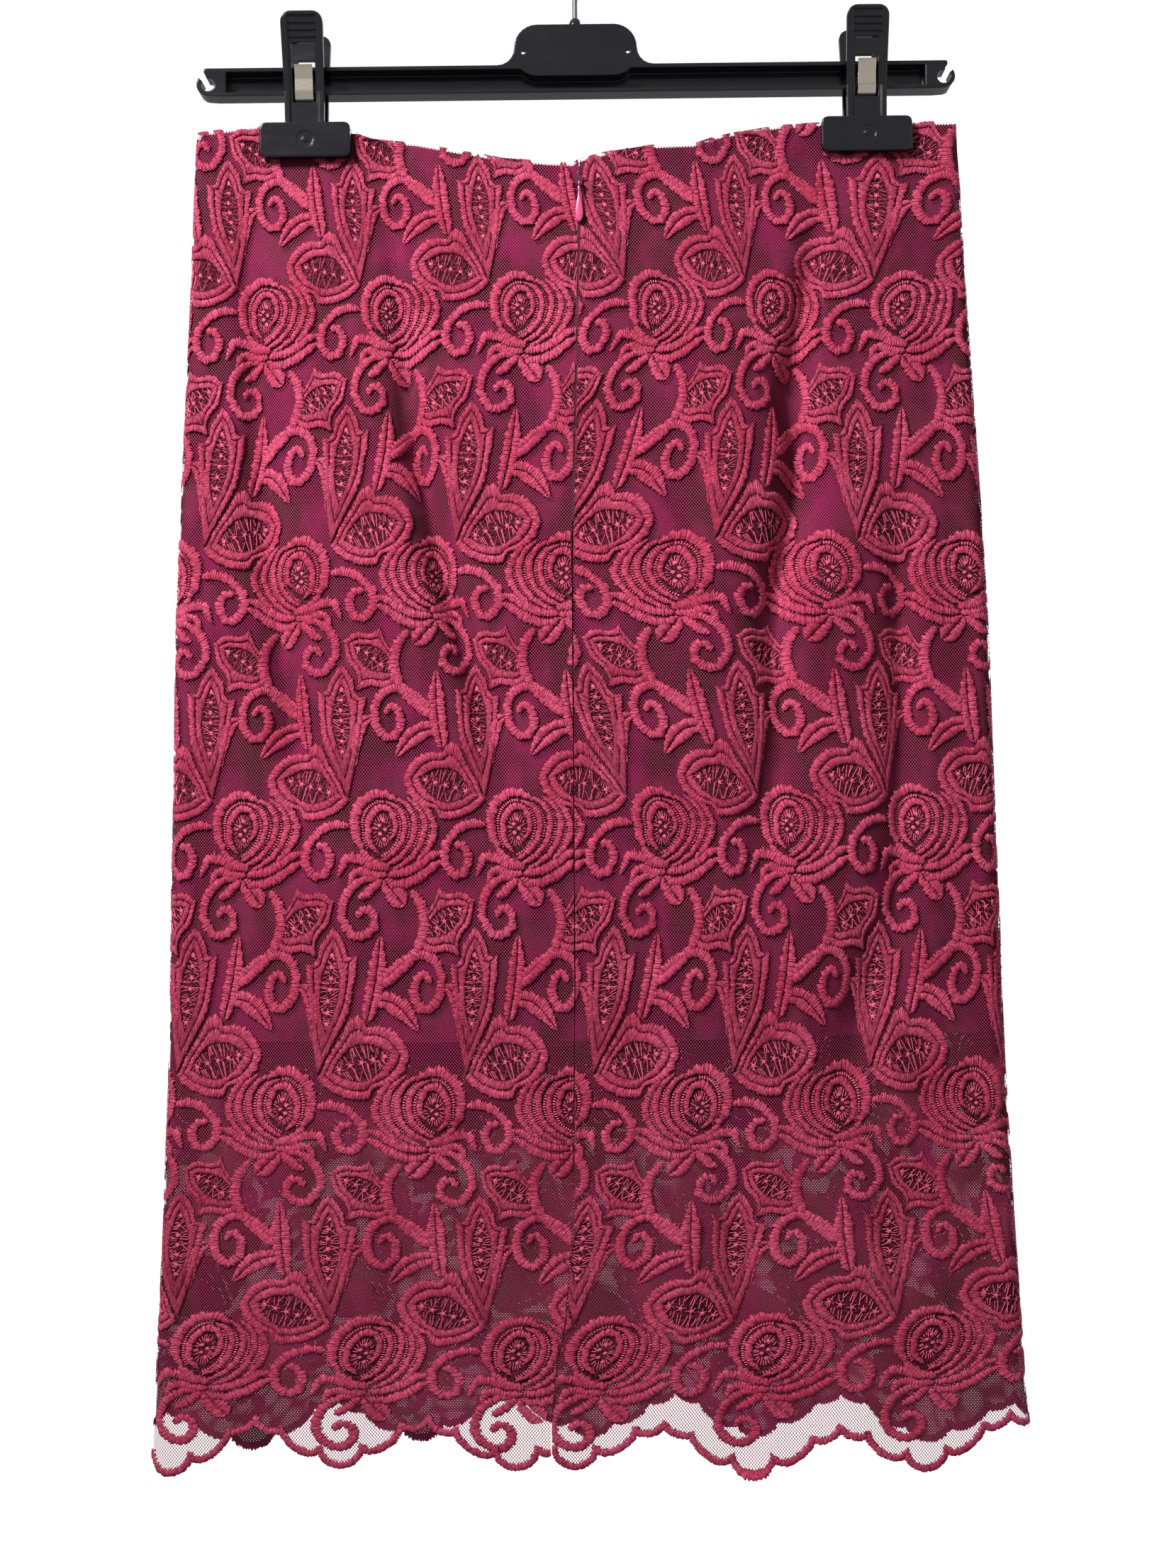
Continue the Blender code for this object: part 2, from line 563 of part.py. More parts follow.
def build_zip():
    pink = material("zip_enamel", (0.42, 0.03, 0.09), 0.2)
    steel = material("zip_metal", (0.62, 0.5, 0.5), 0.25, metallic=0.9)
    rows = [row_z(row, 1, 0) for row in range(LINING_ROWS)]
    heights = [CHAIN_TOP_Z] + [z for z in rows if ZIP_END_Z < z < CHAIN_TOP_Z - 2.0]
    heights[-1] += 2.0
    points = []
    for z in heights:
        x = read(CENTRE_BACK, WAIST_Z - z)
        front = lace_y(z) + CHAIN_SUNK
        half = CHAIN_WIDTH / 2
        points += [(x - half, front, z), (x + half, front, z),
                   (x + half, front + CHAIN_DEPTH, z), (x - half, front + CHAIN_DEPTH, z)]
    faces = [(0, 1, 2, 3), tuple(range(len(points) - 4, len(points)))]
    for i in range(0, len(points) - 4, 4):
        for j in range(4):
            a, b = i + j, i + (j + 1) % 4
            faces += [(a, b, b + 4), (a, b + 4, a + 4)]
    face_outward(add_object("zip_chain", points, faces, pink))

    seam_x = read(CENTRE_BACK, WAIST_Z - PIN_Z)
    lace = min(lace_y(SLIDER_TOP_Z), lace_y(SLIDER_BOTTOM_Z))
    pin_y = lace - PIN_PROUD
    slider = prism(
        "zip_slider",
        [(lace - SEAM_GAP, SLIDER_BOTTOM_Z), (lace - SEAM_GAP, SLIDER_TOP_Z),
         (lace - 0.7, SLIDER_TOP_Z), (lace - 0.95, SLIDER_TOP_Z - 1.0),
         (lace - 0.6, PIN_Z + 1.4), (lace - 0.6, SLIDER_BOTTOM_Z)],
        seam_x - SLIDER_WIDTH / 2, seam_x + SLIDER_WIDTH / 2, "X", steel)
    key_half = CHAIN_WIDTH / 2 - 0.1
    key = prism("slider_key",
                [(lace - 0.5, SLIDER_BOTTOM_Z + 1), (lace - 0.5, SLIDER_TOP_Z - 1),
                 (lace + 0.05, SLIDER_TOP_Z - 1), (lace + 0.05, SLIDER_BOTTOM_Z + 1)],
                seam_x - key_half, seam_x + key_half, "X", steel)
    ears = []
    for side in (-1, 1):
        outer = seam_x + side * SLIDER_WIDTH / 2 - side * 0.05
        inner = outer - side * EAR_THICK
        profile = [(lace - 0.45, PIN_Z + 1.3), (lace - 0.45, PIN_Z - 1.3)]
        profile += arc(pin_y, PIN_Z, 0.95, 270.0, 90.0, 6)
        ears.append(prism(f"slider_ear_{side}", profile, inner, outer, "X", steel))
    pin = cylinder("slider_pin", (seam_x, pin_y, PIN_Z), PIN_RADIUS, SLIDER_WIDTH - 0.4, "X",
                   steel, 10)
    combine(slider, "UNION", key, *ears, pin)

    hinge = (seam_x, pin_y, PIN_Z)
    end_radius = PULL_WIDTH / 2
    half_neck = EYE_WIDTH / 2
    outline = [(seam_x + half_neck, PIN_Z - 0.9), (seam_x - half_neck, PIN_Z - 0.9),
               (seam_x - half_neck - 0.1, PIN_Z - 4.0), (seam_x - half_neck - 0.5, PIN_Z - 8.5),
               (seam_x - end_radius + 0.1, PULL_END_Z + end_radius + 2.2)]
    outline += arc(seam_x, PULL_END_Z + end_radius, end_radius, 180.0, 360.0, 8)
    outline += [(seam_x + end_radius - 0.1, PULL_END_Z + end_radius + 2.2),
                (seam_x + half_neck + 0.5, PIN_Z - 8.5), (seam_x + half_neck + 0.1, PIN_Z - 4.0)]
    pull = prism("zip_pull", outline, pin_y - PULL_THICK / 2, pin_y + PULL_THICK / 2, "Y", pink,
                 origin=hinge)
    eye = cylinder("pull_eye", hinge, EYE_RADIUS, EYE_WIDTH, "X", pink, 12)
    hole = cylinder("pull_hole", hinge, EYE_HOLE_RADIUS, 3 * EYE_WIDTH, "X", pink, 12)
    combine(pull, "UNION", eye)
    combine(pull, "DIFFERENCE", hole)


# ---- hanger ---------------------------------------------------------------------------------
def bar_outline():
    """Front view of the bar with its plate and its two strap notches."""
    half = [(0.0, PLATE_TOP_Z)]
    half += arc(PLATE_HALF_WIDTH - PLATE_CORNER, PLATE_TOP_Z - PLATE_CORNER, PLATE_CORNER,
                90.0, 0.0, 7)
    half += arc(PLATE_HALF_WIDTH + PLATE_FILLET, BAR_TOP_Z + PLATE_FILLET, PLATE_FILLET,
                180.0, 270.0, 5)
    half += arc(LIP_X - 0.9, BAR_TOP_Z - 0.9, 0.9, 90.0, 0.0, 3)
    half += arc(LIP_X - 0.7, LIP_Z + 0.7, 0.7, 0.0, -90.0, 3)
    half += arc(NOTCH_X, NOTCH_Z, NOTCH_RADIUS, 80.0, 392.0, 15)
    half += arc(NOTCH_X, NOTCH_Z, NOTCH_RADIUS + NOTCH_ARM, 36.0, -85.0, 8)
    half += [(NOTCH_X - 4.0, BAR_BOTTOM_Z), (0.0, BAR_BOTTOM_Z)]
    return half + [(-x, z) for x, z in half[-2:0:-1]]


def stadium(half_width, top, bottom, corner, steps=6):
    points = []
    for x_sign, z_side, start in ((1, top - corner, 0.0), (-1, top - corner, 90.0),
                                  (-1, bottom + corner, 180.0), (1, bottom + corner, 270.0)):
        points += arc(x_sign * (half_width - corner), z_side, corner, start, start + 90, steps)
    return points


def pocket_outline(side):
    """One of the two pockets that hollow the plate from behind, beside the hook's boss."""
    x = PLATE_HALF_WIDTH - PLATE_RIM - POCKET_CORNER
    top = PLATE_TOP_Z - PLATE_RIM
    outline = arc(x, top - POCKET_CORNER, POCKET_CORNER, 90.0, 0.0, 5)
    outline += arc(x, POCKET_BOTTOM_Z + POCKET_CORNER, POCKET_CORNER, 0.0, -90.0, 5)
    outline += [(POCKET_INNER_X, POCKET_BOTTOM_Z), (POCKET_INNER_X, top)]
    return [(side * x, z) for x, z in outline][::side]


def build_bar(plastic):
    half_depth_y = BAR_DEPTH / 2
    bar = prism("hanger_bar", bar_outline(), -half_depth_y, half_depth_y, "Y", plastic)
    reach = (CHANNEL_END_X, -half_depth_y - 1, half_depth_y - BAR_WEB)
    channel = prism(
        "channel_cut",
        [(-reach[0], BAR_TOP_Z - BAR_FLANGE), (reach[0], BAR_TOP_Z - BAR_FLANGE),
         (reach[0], BAR_BOTTOM_Z + BAR_FLANGE), (-reach[0], BAR_BOTTOM_Z + BAR_FLANGE)],
        reach[1], reach[2], "Y", plastic)
    plate = prism("plate_body",
                  stadium(PLATE_HALF_WIDTH - 0.05, PLATE_TOP_Z - 0.05, PLATE_BOTTOM_Z,
                          PLATE_CORNER),
                  -half_depth_y, half_depth_y - 0.05, "Y", plastic)
    rise = COLLAR_TOP_Z - PLATE_TOP_Z
    dome = [(COLLAR_RADIUS * math.cos(a), PLATE_TOP_Z + rise * math.sin(a))
            for a in (math.radians(15.0 * i) for i in range(6))]
    sides = 16
    points = [(0.0, 0.0, COLLAR_TOP_Z)]
    for radius, z in [(COLLAR_RADIUS, PLATE_TOP_Z - 3.0)] + dome:
        points += [(radius * math.cos(math.tau * i / sides),
                    radius * math.sin(math.tau * i / sides), z) for i in range(sides)]
    faces = [[1 + i for i in range(sides)]]
    for ring in range(len(dome)):
        for i in range(sides):
            a, b = 1 + ring * sides + i, 1 + ring * sides + (i + 1) % sides
            faces.append([a, b, b + sides, a + sides])
    last = 1 + len(dome) * sides
    faces += [[last + i, last + (i + 1) % sides, 0] for i in range(sides)]
    collar = add_object("collar_dome", points, faces, plastic)
    face_outward(collar)
    bore_height = COLLAR_TOP_Z - HOOK_STEM_Z + 2.3
    bore = cylinder("hook_bore", (0.0, 0.0, HOOK_STEM_Z - 0.3 + bore_height / 2),
                    HOOK_BORE_RADIUS, bore_height, "Z", plastic, 12)
    holes = [cylinder(f"plate_hole_{side}", (side * PLATE_HOLE_X, 0.0, PLATE_HOLE_Z), 1.0,
                      2 * BAR_DEPTH, "Y", plastic, 10) for side in (-1, 1)]
    combine(bar, "DIFFERENCE", channel)
    combine(bar, "UNION", plate, collar)
    pockets = [prism(f"plate_pocket_{side}", pocket_outline(side), PLATE_SKIN - half_depth_y,
                     half_depth_y + 1, "Y", plastic) for side in (-1, 1)]
    combine(bar, "DIFFERENCE", bore, *holes, *pockets)


def build_hook(steel):
    """Straight stem, a reverse bend, and a round crook over the origin."""
    radius = HOOK_INNER_RADIUS + HOOK_WIRE / 2
    centre_z = -HOOK_INNER_RADIUS
    join = math.radians(-60.0)
    bend_z = centre_z + 2 * radius * math.sin(join)
    path = [(0.0, HOOK_STEM_Z), (0.0, (HOOK_STEM_Z + bend_z) / 2)]
    path += arc(radius, bend_z, radius, 180.0, 120.0, 6)
    path += arc(0.0, centre_z, radius, -60.0, HOOK_SWEEP_END, 26)[1:]
    curve = bpy.data.curves.new("hook", "CURVE")
    curve.dimensions = "3D"
    curve.bevel_depth = HOOK_WIRE / 2 * MM
    curve.bevel_resolution = 2
    curve.use_fill_caps = True
    spline = curve.splines.new("POLY")
    spline.points.add(len(path) - 1)
    for point, (x, z) in zip(spline.points, path):
        point.co = (x * MM, 0.0, z * MM, 1.0)
    curve.materials.append(steel)
    bpy.context.scene.collection.objects.link(bpy.data.objects.new("hook", curve))


def lever_faces():
    """Inner and outer side profile of a front lever, top to foot, as (y, z)."""
    inner = [(-LEVER_TOP_INNER_Y, LEVER_TOP_Z), (-LEVER_FOOT_INNER_Y, LEVER_BEND_Z),
             (-LEVER_FOOT_INNER_Y, PAD_TOP_Z - 4.0)]
    outer = [(y - LEVER_THICK, z) for y, z in inner]
    return inner, outer


def build_jaw_mesh(plastic):
    """The front jaw, centred on x = 0: a rimmed lever with a window, and a pad below it."""
    inner, outer = lever_faces()
    jaw = prism("jaw_form", inner + outer[::-1], -LEVER_TOP_WIDTH, LEVER_TOP_WIDTH, "X", plastic)
    top = LEVER_TOP_WIDTH / 2
    foot = LEVER_FOOT_WIDTH / 2
    front = arc(top - LEVER_CORNER, LEVER_TOP_Z - LEVER_CORNER, LEVER_CORNER, 0.0, 90.0, 5)
    front += [(-x, z) for x, z in front[::-1]]
    front += [(-foot, PAD_TOP_Z - 6.0), (foot, PAD_TOP_Z - 6.0)]
    silhouette = prism("jaw_silhouette", front, -30.0, 0.0, "Y", plastic)
    floor_line = [(y + RIM_HEIGHT, z) for y, z in outer]
    recess_outline = floor_line + [(-30.0, PAD_TOP_Z - 4.0), (-30.0, LEVER_TOP_Z)]
    recess_half = foot - RIM_WIDTH
    recess = prism("jaw_recess", recess_outline, -recess_half, recess_half, "X", plastic)
    lip = LEVER_TOP_Z - 1.6
    recess_top = prism("recess_top_keep", [(-40.0, lip), (0.0, lip), (0.0, lip + 20.0),
                                           (-40.0, lip + 20.0)], -20.0, 20.0, "X", plastic)
    combine(recess, "DIFFERENCE", recess_top)
    slope = (LEVER_TOP_INNER_Y - LEVER_FOOT_INNER_Y) / (LEVER_TOP_Z - LEVER_BEND_Z)
    ridges = []
    for i in range(RIDGE_COUNT):
        z = lip - RIDGE_PITCH * (i + 1)
        face = -LEVER_TOP_INNER_Y - LEVER_THICK + slope * (LEVER_TOP_Z - z)
        ridge = [(face + RIM_HEIGHT + 0.3, z - 0.5), (face + 0.1, z - 0.25), (face + 0.1, z + 0.1),
                 (face + RIM_HEIGHT + 0.3, z + 0.5)]
        half = recess_half - 0.6
        ridges.append(prism(f"jaw_ridge_{i}", ridge, -half, half, "X", plastic))
    window = prism(
        "jaw_window",
        [(-WINDOW_WIDTH / 2, WINDOW_BOTTOM_Z), (WINDOW_WIDTH / 2, WINDOW_BOTTOM_Z),
         (WINDOW_WIDTH / 2, WINDOW_TOP_Z), (-WINDOW_WIDTH / 2, WINDOW_TOP_Z)],
        -30.0, 0.0, "Y", plastic)
    pad = prism("jaw_pad", stadium(PAD_WIDTH / 2, PAD_TOP_Z, PAD_BOTTOM_Z, PAD_CORNER, 3),
                -PAD_INNER_Y - PAD_THICK, -PAD_INNER_Y, "Y", plastic)
    soften = pad.modifiers.new("Soften", "BEVEL")
    soften.width = 0.7 * MM
    soften.segments = 2
    soften.limit_method = "ANGLE"
    soften.angle_limit = math.radians(60)
    pad_z = (PAD_TOP_Z + PAD_BOTTOM_Z) / 2
    dimple = cylinder("jaw_dimple", (0.0, -PAD_INNER_Y - PAD_THICK, pad_z), DIMPLE_RADIUS, 0.5,
                      "Y", plastic)
    boss = cylinder("jaw_boss", (0.0, -PAD_INNER_Y - PAD_THICK + 0.3, pad_z), 1.3, 0.9, "Y",
                    plastic, 10)
    combine(jaw, "INTERSECT", silhouette)
    combine(jaw, "DIFFERENCE", recess, window)
    combine(jaw, "UNION", *ridges, pad)
    combine(jaw, "DIFFERENCE", dimple)
    combine(jaw, "UNION", boss)
    shaped = jaw.evaluated_get(bpy.context.evaluated_depsgraph_get())
    mesh = bpy.data.meshes.new_from_object(shaped)
    mesh.name = "jaw"
    jaw.hide_render = True
    jaw.display_type = "WIRE"
    return mesh


def spring_outline():
    """Side profile of the strip spring, front leg, under the bar, back leg, as (y, z)."""
    quarter = [(-9.0, -85.6), (-8.5, -86.6), (-7.2, -91.6), (-6.9, -96.4), (-7.3, -97.2),
               (-6.3, -100.6), (-5.0, -101.35)]
    path = quarter + [(-y, z) for y, z in quarter[::-1]]
    sides = {1: [], -1: []}
    for i, point in enumerate(path):
        before = path[max(i - 1, 0)]
        after = path[min(i + 1, len(path) - 1)]
        dy, dz = after[0] - before[0], after[1] - before[1]
        length = math.hypot(dy, dz)
        for sign, points in sides.items():
            shift = sign * SPRING_THICK / 2
            points.append((point[0] - dz / length * shift, point[1] + dy / length * shift))
    return sides[1] + sides[-1][::-1]


def build_clips(plastic, steel):
    jaw = build_jaw_mesh(plastic)
    for label, clip_x in CLIP_X.items():
        for face, turn in (("front", math.pi), ("back", 0.0)):
            made = bpy.data.objects.new(f"clip_{label}_{face}_jaw", jaw)
            made.location = (clip_x * MM, 0.0, 0.0)
            made.rotation_euler = (0.0, 0.0, turn)
            bpy.context.scene.collection.objects.link(made)
        prism(f"clip_{label}_spring", spring_outline(), clip_x - SPRING_WIDTH / 2,
              clip_x + SPRING_WIDTH / 2, "X", steel)


def build_hanger():
    plastic = material("black_plastic", (0.012, 0.012, 0.016), 0.22)
    steel = material("bright_steel", (0.6, 0.6, 0.62), 0.25, metallic=1.0)
    nickel = material("nickel", (0.62, 0.55, 0.44), 0.3, metallic=1.0)
    build_bar(plastic)
    build_hook(steel)
    build_clips(plastic, nickel)


def main():
    for old in list(bpy.data.objects):
        bpy.data.objects.remove(old)
    build_skirt()
    build_zip()
    build_hanger()


main()
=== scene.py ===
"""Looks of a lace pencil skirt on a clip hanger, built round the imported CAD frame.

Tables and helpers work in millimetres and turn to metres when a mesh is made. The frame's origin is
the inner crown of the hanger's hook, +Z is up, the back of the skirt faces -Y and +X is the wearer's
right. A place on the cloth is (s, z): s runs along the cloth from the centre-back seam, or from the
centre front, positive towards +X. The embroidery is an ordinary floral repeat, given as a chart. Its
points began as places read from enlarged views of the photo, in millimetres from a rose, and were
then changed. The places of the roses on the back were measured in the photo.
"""
import math

import bpy
import mathutils
import numpy as np
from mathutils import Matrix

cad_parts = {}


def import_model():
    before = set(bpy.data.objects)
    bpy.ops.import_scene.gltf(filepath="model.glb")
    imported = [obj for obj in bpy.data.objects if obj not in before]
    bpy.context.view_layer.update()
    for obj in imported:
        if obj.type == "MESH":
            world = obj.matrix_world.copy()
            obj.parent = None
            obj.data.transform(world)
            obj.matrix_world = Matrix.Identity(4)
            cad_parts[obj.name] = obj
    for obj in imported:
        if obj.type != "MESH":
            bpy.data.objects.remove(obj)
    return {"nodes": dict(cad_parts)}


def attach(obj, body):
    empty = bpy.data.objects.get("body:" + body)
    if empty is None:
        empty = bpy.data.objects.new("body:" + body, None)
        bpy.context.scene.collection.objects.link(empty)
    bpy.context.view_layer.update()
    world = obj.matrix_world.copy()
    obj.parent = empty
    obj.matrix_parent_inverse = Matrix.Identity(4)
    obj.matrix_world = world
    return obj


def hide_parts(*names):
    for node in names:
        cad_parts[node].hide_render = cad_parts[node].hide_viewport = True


MM = 0.001
rng = np.random.default_rng(20)    # all the unevenness of the stitches

# ---- the hanging cloth: sections as in the frame's solids, folds and darts deeper and sharper ----
WAIST_Z = -112.0
LINING_HEM_Z = -537.0
CUSP_Z = -713.0
ZIP_END_Z = -330.0
SECTIONS = (
    #  drop  half_w  fold_r  back  front
    (0, 177.5, 3.2, 0, 0),
    (17, 178.4, 3.2, 0, 0),
    (27, 178.9, 3.4, 0.8, 0.6),
    (60, 180.5, 4.3, 3.4, 2.9),
    (90, 182, 5.1, 5, 4.4),
    (150, 185.5, 6.3, 8.8, 8),
    (220, 189.3, 7.3, 11.2, 10.4),
    (330, 192.5, 8.4, 12.8, 12),
    (450, 196, 9, 13, 12.4),
    (530, 200, 9.3, 13, 12.6),
    (615, 205, 9.5, 13, 12.8),
)
WAIST_BULGE = 4.6
WAIST_BULGE_HALF = 104.0
WAIST_BULGE_FADE = 170.0
BACK_SAG = (
    #   x     drop
    (-177, 3.2), (-151, 0.2), (-109, 2), (-95, 7), (-75, 9.3), (-55, 13.5),
    (-35, 17.5), (-15, 20), (-1, 20.8), (1, 19), (15, 15.5), (35, 12.5),
    (55, 11.5), (65, 8), (75, 6), (95, 2.8), (109, 1.8), (177, 1.8),
)
FRONT_SAG = (
    (-177, 4.5), (-151, 1.2), (-109, 0.8), (-80, 8), (-40, 14), (0, 17),
    (40, 14), (80, 8), (109, 0.6), (177, 0.8),
)
CENTRE_BACK = (
    (0, 1.4), (60, 0.6), (200, -4), (400, -5), (508, -7), (553, -11),
    (571, -15), (600, -18), (640, -18),
)
BACK_FOLDS = (
    #  z        x      depth  half_width
    ((-140, 113, 0.4, 7), (-180, 108, 3.4, 7.5), (-230, 99, 8, 9),
     (-275, 100, 9, 10), (-350, 88, 6.5, 11), (-400, 90, 5.5, 12),
     (-480, 76, 0, 15)),
    ((-285, 146, 0, 9), (-320, 147, 4.5, 9), (-400, 148, 6, 10),
     (-480, 144, 4, 12), (-530, 140, 0, 13)),
    ((-135, -155, 0.2, 7), (-200, -153, 3.2, 8), (-270, -150, 6.5, 9),
     (-330, -144, 6, 10), (-385, -136, 5.5, 11), (-465, -125, 0, 15)),
    ((-150, -88, 1, 8), (-200, -83, 3.4, 8), (-265, -76, 6.6, 8),
     (-365, -52, 6.2, 8.5), (-430, -30, 0, 13)),
    ((-480, 134, 0, 12), (-527, 127, 5, 13), (-575, 120, 0, 14)),
    ((-560, 60, 0, 16), (-640, 66, 2.2, 17), (-735, 72, 3, 18)),
    ((-590, -84, 0, 18), (-660, -90, 2.2, 18), (-735, -96, 3, 20)),
    ((-150, 72, 0, 16), (-230, 70, -2.5, 18), (-330, 60, -2, 20),
     (-430, 50, 0, 20)),
)
FRONT_FOLDS = (
    ((-140, -112, 0.4, 7), (-230, -104, 5, 9), (-330, -92, 6, 11),
     (-450, -80, 0, 15)),
    ((-150, 108, 0.6, 8), (-240, 112, 5, 10), (-350, 104, 5.5, 11),
     (-500, 92, 0, 15)),
    ((-260, -20, 0, 14), (-400, -10, 4, 15), (-560, 4, 0, 18)),
    ((-560, 50, 0, 18), (-650, 56, 2.4, 18), (-735, 62, 3.2, 20)),
    ((-580, -96, 0, 18), (-660, -104, 2.4, 18), (-735, -108, 3.2, 20)),
)
CREASE_DEPTH = 1.35       # all folds, times what the tables say
CREASE_WIDTH = 0.80
CREASE_SHARPNESS = 1.6    # 2 is a bell curve
LEAST_HALF_DEPTH = 3.1    # folds stop short of this, so the two sides never meet
DART_LENGTH = 80.0
DART_DEPTH = 1.1
DART_HALF_WIDTH = 5.0
BACK_DART_X = 105.0
FRONT_DART_X = 92.0
SCALLOP_PERIOD = 81.0
SCALLOP_LOBES = (
    # from    to    depth at start, end, and how far the lobe swells past them
    (0, 12.5, 0, 3.4, 3.4),
    (12.5, 31, 3.4, 13, 6.6),
    (31, 50.5, 13, 13.2, 9.4),
    (50.5, 68.5, 13.2, 4.2, 6.4),
    (68.5, 81, 4.2, 0, 3.9),
)
HEM_RISE = (
    (-200, -2.6), (-160, -1.5), (-135, 2.5), (-100, 4.6), (-40, 4.2), (0, 4.6),
    (35, 4.2), (55, 1.5), (75, -1), (110, -2), (150, -2.2), (200, -1),
)
RIGHT_FIRST_CUSP = 51.0
LEFT_FIRST_CUSP = 56.0
FRONT_FIRST_CUSP = 40.5

# ---- layers of the cloth, measured in from the outside of the solids ----
NET_INSET = 0.5
LINING_INSET = 1.9
GROUND_LIFT = 0.07        # open ground of a leaf or rose above the net
STITCH_BASE = 0.12        # edge of a band of stitches above the net
STITCH_RISE = 0.66        # crown of a band above its edge
OVER_WAIST = 0.9          # how far the embroidery stands over the waist edge
EDGE_CORD = 3.9           # width of the satin edge along the scallops
EDGE_CORD_RISE = 1.1
EDGE_CORD_IN = 1.5        # its middle, above the edge of the net
EMBROIDERY_IN = 0.8       # the embroidery stops this far above the edge of the net
UNCUT = -5.0              # and the cord this far below it, so it is never cut

# ---- seams ----
SHEET_GAP = 0.15          # half the gap between two sheets
STITCH_GAP = 0.26         # and between the embroidery of two panels at the centre back
ZIP_WIDENING = 2.0        # how much wider that is along the zip
SIDE_GAP = 0.4            # from the embroidery to the side seam
HEM_SIDE_Z = -722.0       # where the hem meets the side seam
WAIST_SIDE_Z = -125.0     # just below the waist's lowest point at the side

# ---- sampling grid ----
GRID_TOP = -100.0
GRID_STEP_Z = 2.0
GRID_ROWS = 326
GRID_REACH = 236          # how far the grid runs along the cloth each way
LAST_CELL = 1.001         # keeps a place inside the grid's last cell
BACK_STEPS = 300
FOLD_STEPS = 41           # odd, so that one lies at the side seam
FRONT_STEPS = 220
WAIST_ROW = round((GRID_TOP - WAIST_Z) / GRID_STEP_Z)
FLAT_PART = slice(30, -30)    # columns that don't run round a side fold


def smooth_table(rows, key):
    """Read every column of a table at a key, along smooth curves through its rows."""
    table = np.array(rows, float)
    xs = table[:, 0]
    slopes = np.gradient(table[:, 1:], xs, axis=0)
    key = min(max(key, xs[0]), xs[-1])
    i = min(max(int(np.searchsorted(xs, key)) - 1, 0), len(xs) - 2)
    span = xs[i + 1] - xs[i]
    t = (key - xs[i]) / span
    ease = t * t * (3 - 2 * t)
    start = table[i, 1:] + slopes[i] * span * t * (1 - t) ** 2
    end = table[i + 1, 1:] - slopes[i + 1] * span * (1 - t) * t ** 2
    return start * (1 - ease) + end * ease


def read(rows, key):
    """Read a two-column table along straight lines."""
    table = np.array(rows)
    return np.interp(key, table[:, 0], table[:, 1])


def fold_depth(folds, x, z):
    """How far the troughs push the cloth in, along a row."""
    total = np.zeros_like(x)
    for rows in folds:
        if rows[-1][0] < z < rows[0][0]:
            path_x, depth, half_width = smooth_table([(-row[0], *row[1:]) for row in rows], -z)
            off = np.abs(x - path_x) / (half_width * CREASE_WIDTH)
            total += depth * CREASE_DEPTH * np.exp(-off ** CREASE_SHARPNESS)
    return total


def ripples(x, z, front):
    """Small soft unevenness of hanging cloth, about a millimetre deep."""
    shift = 1.7 if front else 0.0
    total = 0.50 * np.sin(x / 13.0 + 0.011 * z + shift) * math.sin(z / 47.0 + shift)
    total += 0.40 * np.sin(x / 7.3 - z / 31.0 + 2 * shift) * np.cos(z / 71.0 + x / 90.0)
    total += 0.20 * np.sin(x / 22.0 + z / 17.0 - shift)
    below = np.clip((WAIST_Z - z) / 60.0, 0.0, 1.0)
    return total * below


def half_depth(x, z, front):
    """Distance from the tube's middle plane to the outside of the lace, along a row."""
    drop = WAIST_Z - z
    half_width, fold_radius, back_bulge, front_bulge = smooth_table(SECTIONS, drop)
    across = np.minimum(np.abs(x) / (half_width - fold_radius), 1.0)
    bulge = (front_bulge if front else back_bulge) * (1 - across ** 4) ** 2
    at_waist = max(0.0, 1 - drop / WAIST_BULGE_FADE)
    swell = np.cos(math.pi / 2 * np.clip(x / WAIST_BULGE_HALF, -1, 1)) ** 2
    bulge = bulge + WAIST_BULGE * swell * at_waist
    folds, dart_x = (FRONT_FOLDS, FRONT_DART_X) if front else (BACK_FOLDS, BACK_DART_X)
    below = drop / DART_LENGTH
    dart = np.zeros_like(x)
    if 0 <= below < 1:
        near = np.maximum(0, 1 - np.abs(np.abs(x) - dart_x) / DART_HALF_WIDTH)
        dart = DART_DEPTH * near * (1 - below)
    pushed = fold_depth(folds, x, z) + dart + ripples(x, z, front)
    pushed = pushed * (1 - across ** 8)
    depth = fold_radius + bulge
    return np.maximum(depth - pushed, np.minimum(depth, LEAST_HALF_DEPTH))


def tube_row(side, z):
    """Points of half the tube at one height, centre back to centre front, and the column where
    the side seam lies."""
    half_width, fold_radius = smooth_table(SECTIONS, WAIST_Z - z)[:2]
    flat = half_width - fold_radius
    seam_x = read(CENTRE_BACK, WAIST_Z - z)
    t = np.linspace(0, 1, BACK_STEPS)
    back_x = seam_x * (1 - t) + side * flat * t
    turn = np.linspace(0, math.pi, FOLD_STEPS)[1:-1]
    t = np.linspace(1, 0, FRONT_STEPS)
    front_x = side * flat * t
    xs = np.concatenate([back_x, side * (flat + fold_radius * np.sin(turn)), front_x])
    ys = np.concatenate([-half_depth(back_x, z, False), -fold_radius * np.cos(turn),
                         half_depth(front_x, z, True)])
    return xs, ys, BACK_STEPS + FOLD_STEPS // 2 - 1


def scallop_drop(along):
    """Depth of the hem edge below the cusps, at distances along it from any cusp."""
    offset = np.mod(along, SCALLOP_PERIOD)
    drop = np.zeros_like(offset)
    for start, end, at_start, at_end, swell in SCALLOP_LOBES:
        t = (offset - start) / (end - start)
        here = (t >= 0) & (t <= 1)
        lobe = at_start + (at_end - at_start) * t + swell * np.sqrt(np.clip(4 * t * (1 - t), 0, 1))
        drop = np.where(here, lobe, drop)
    return drop


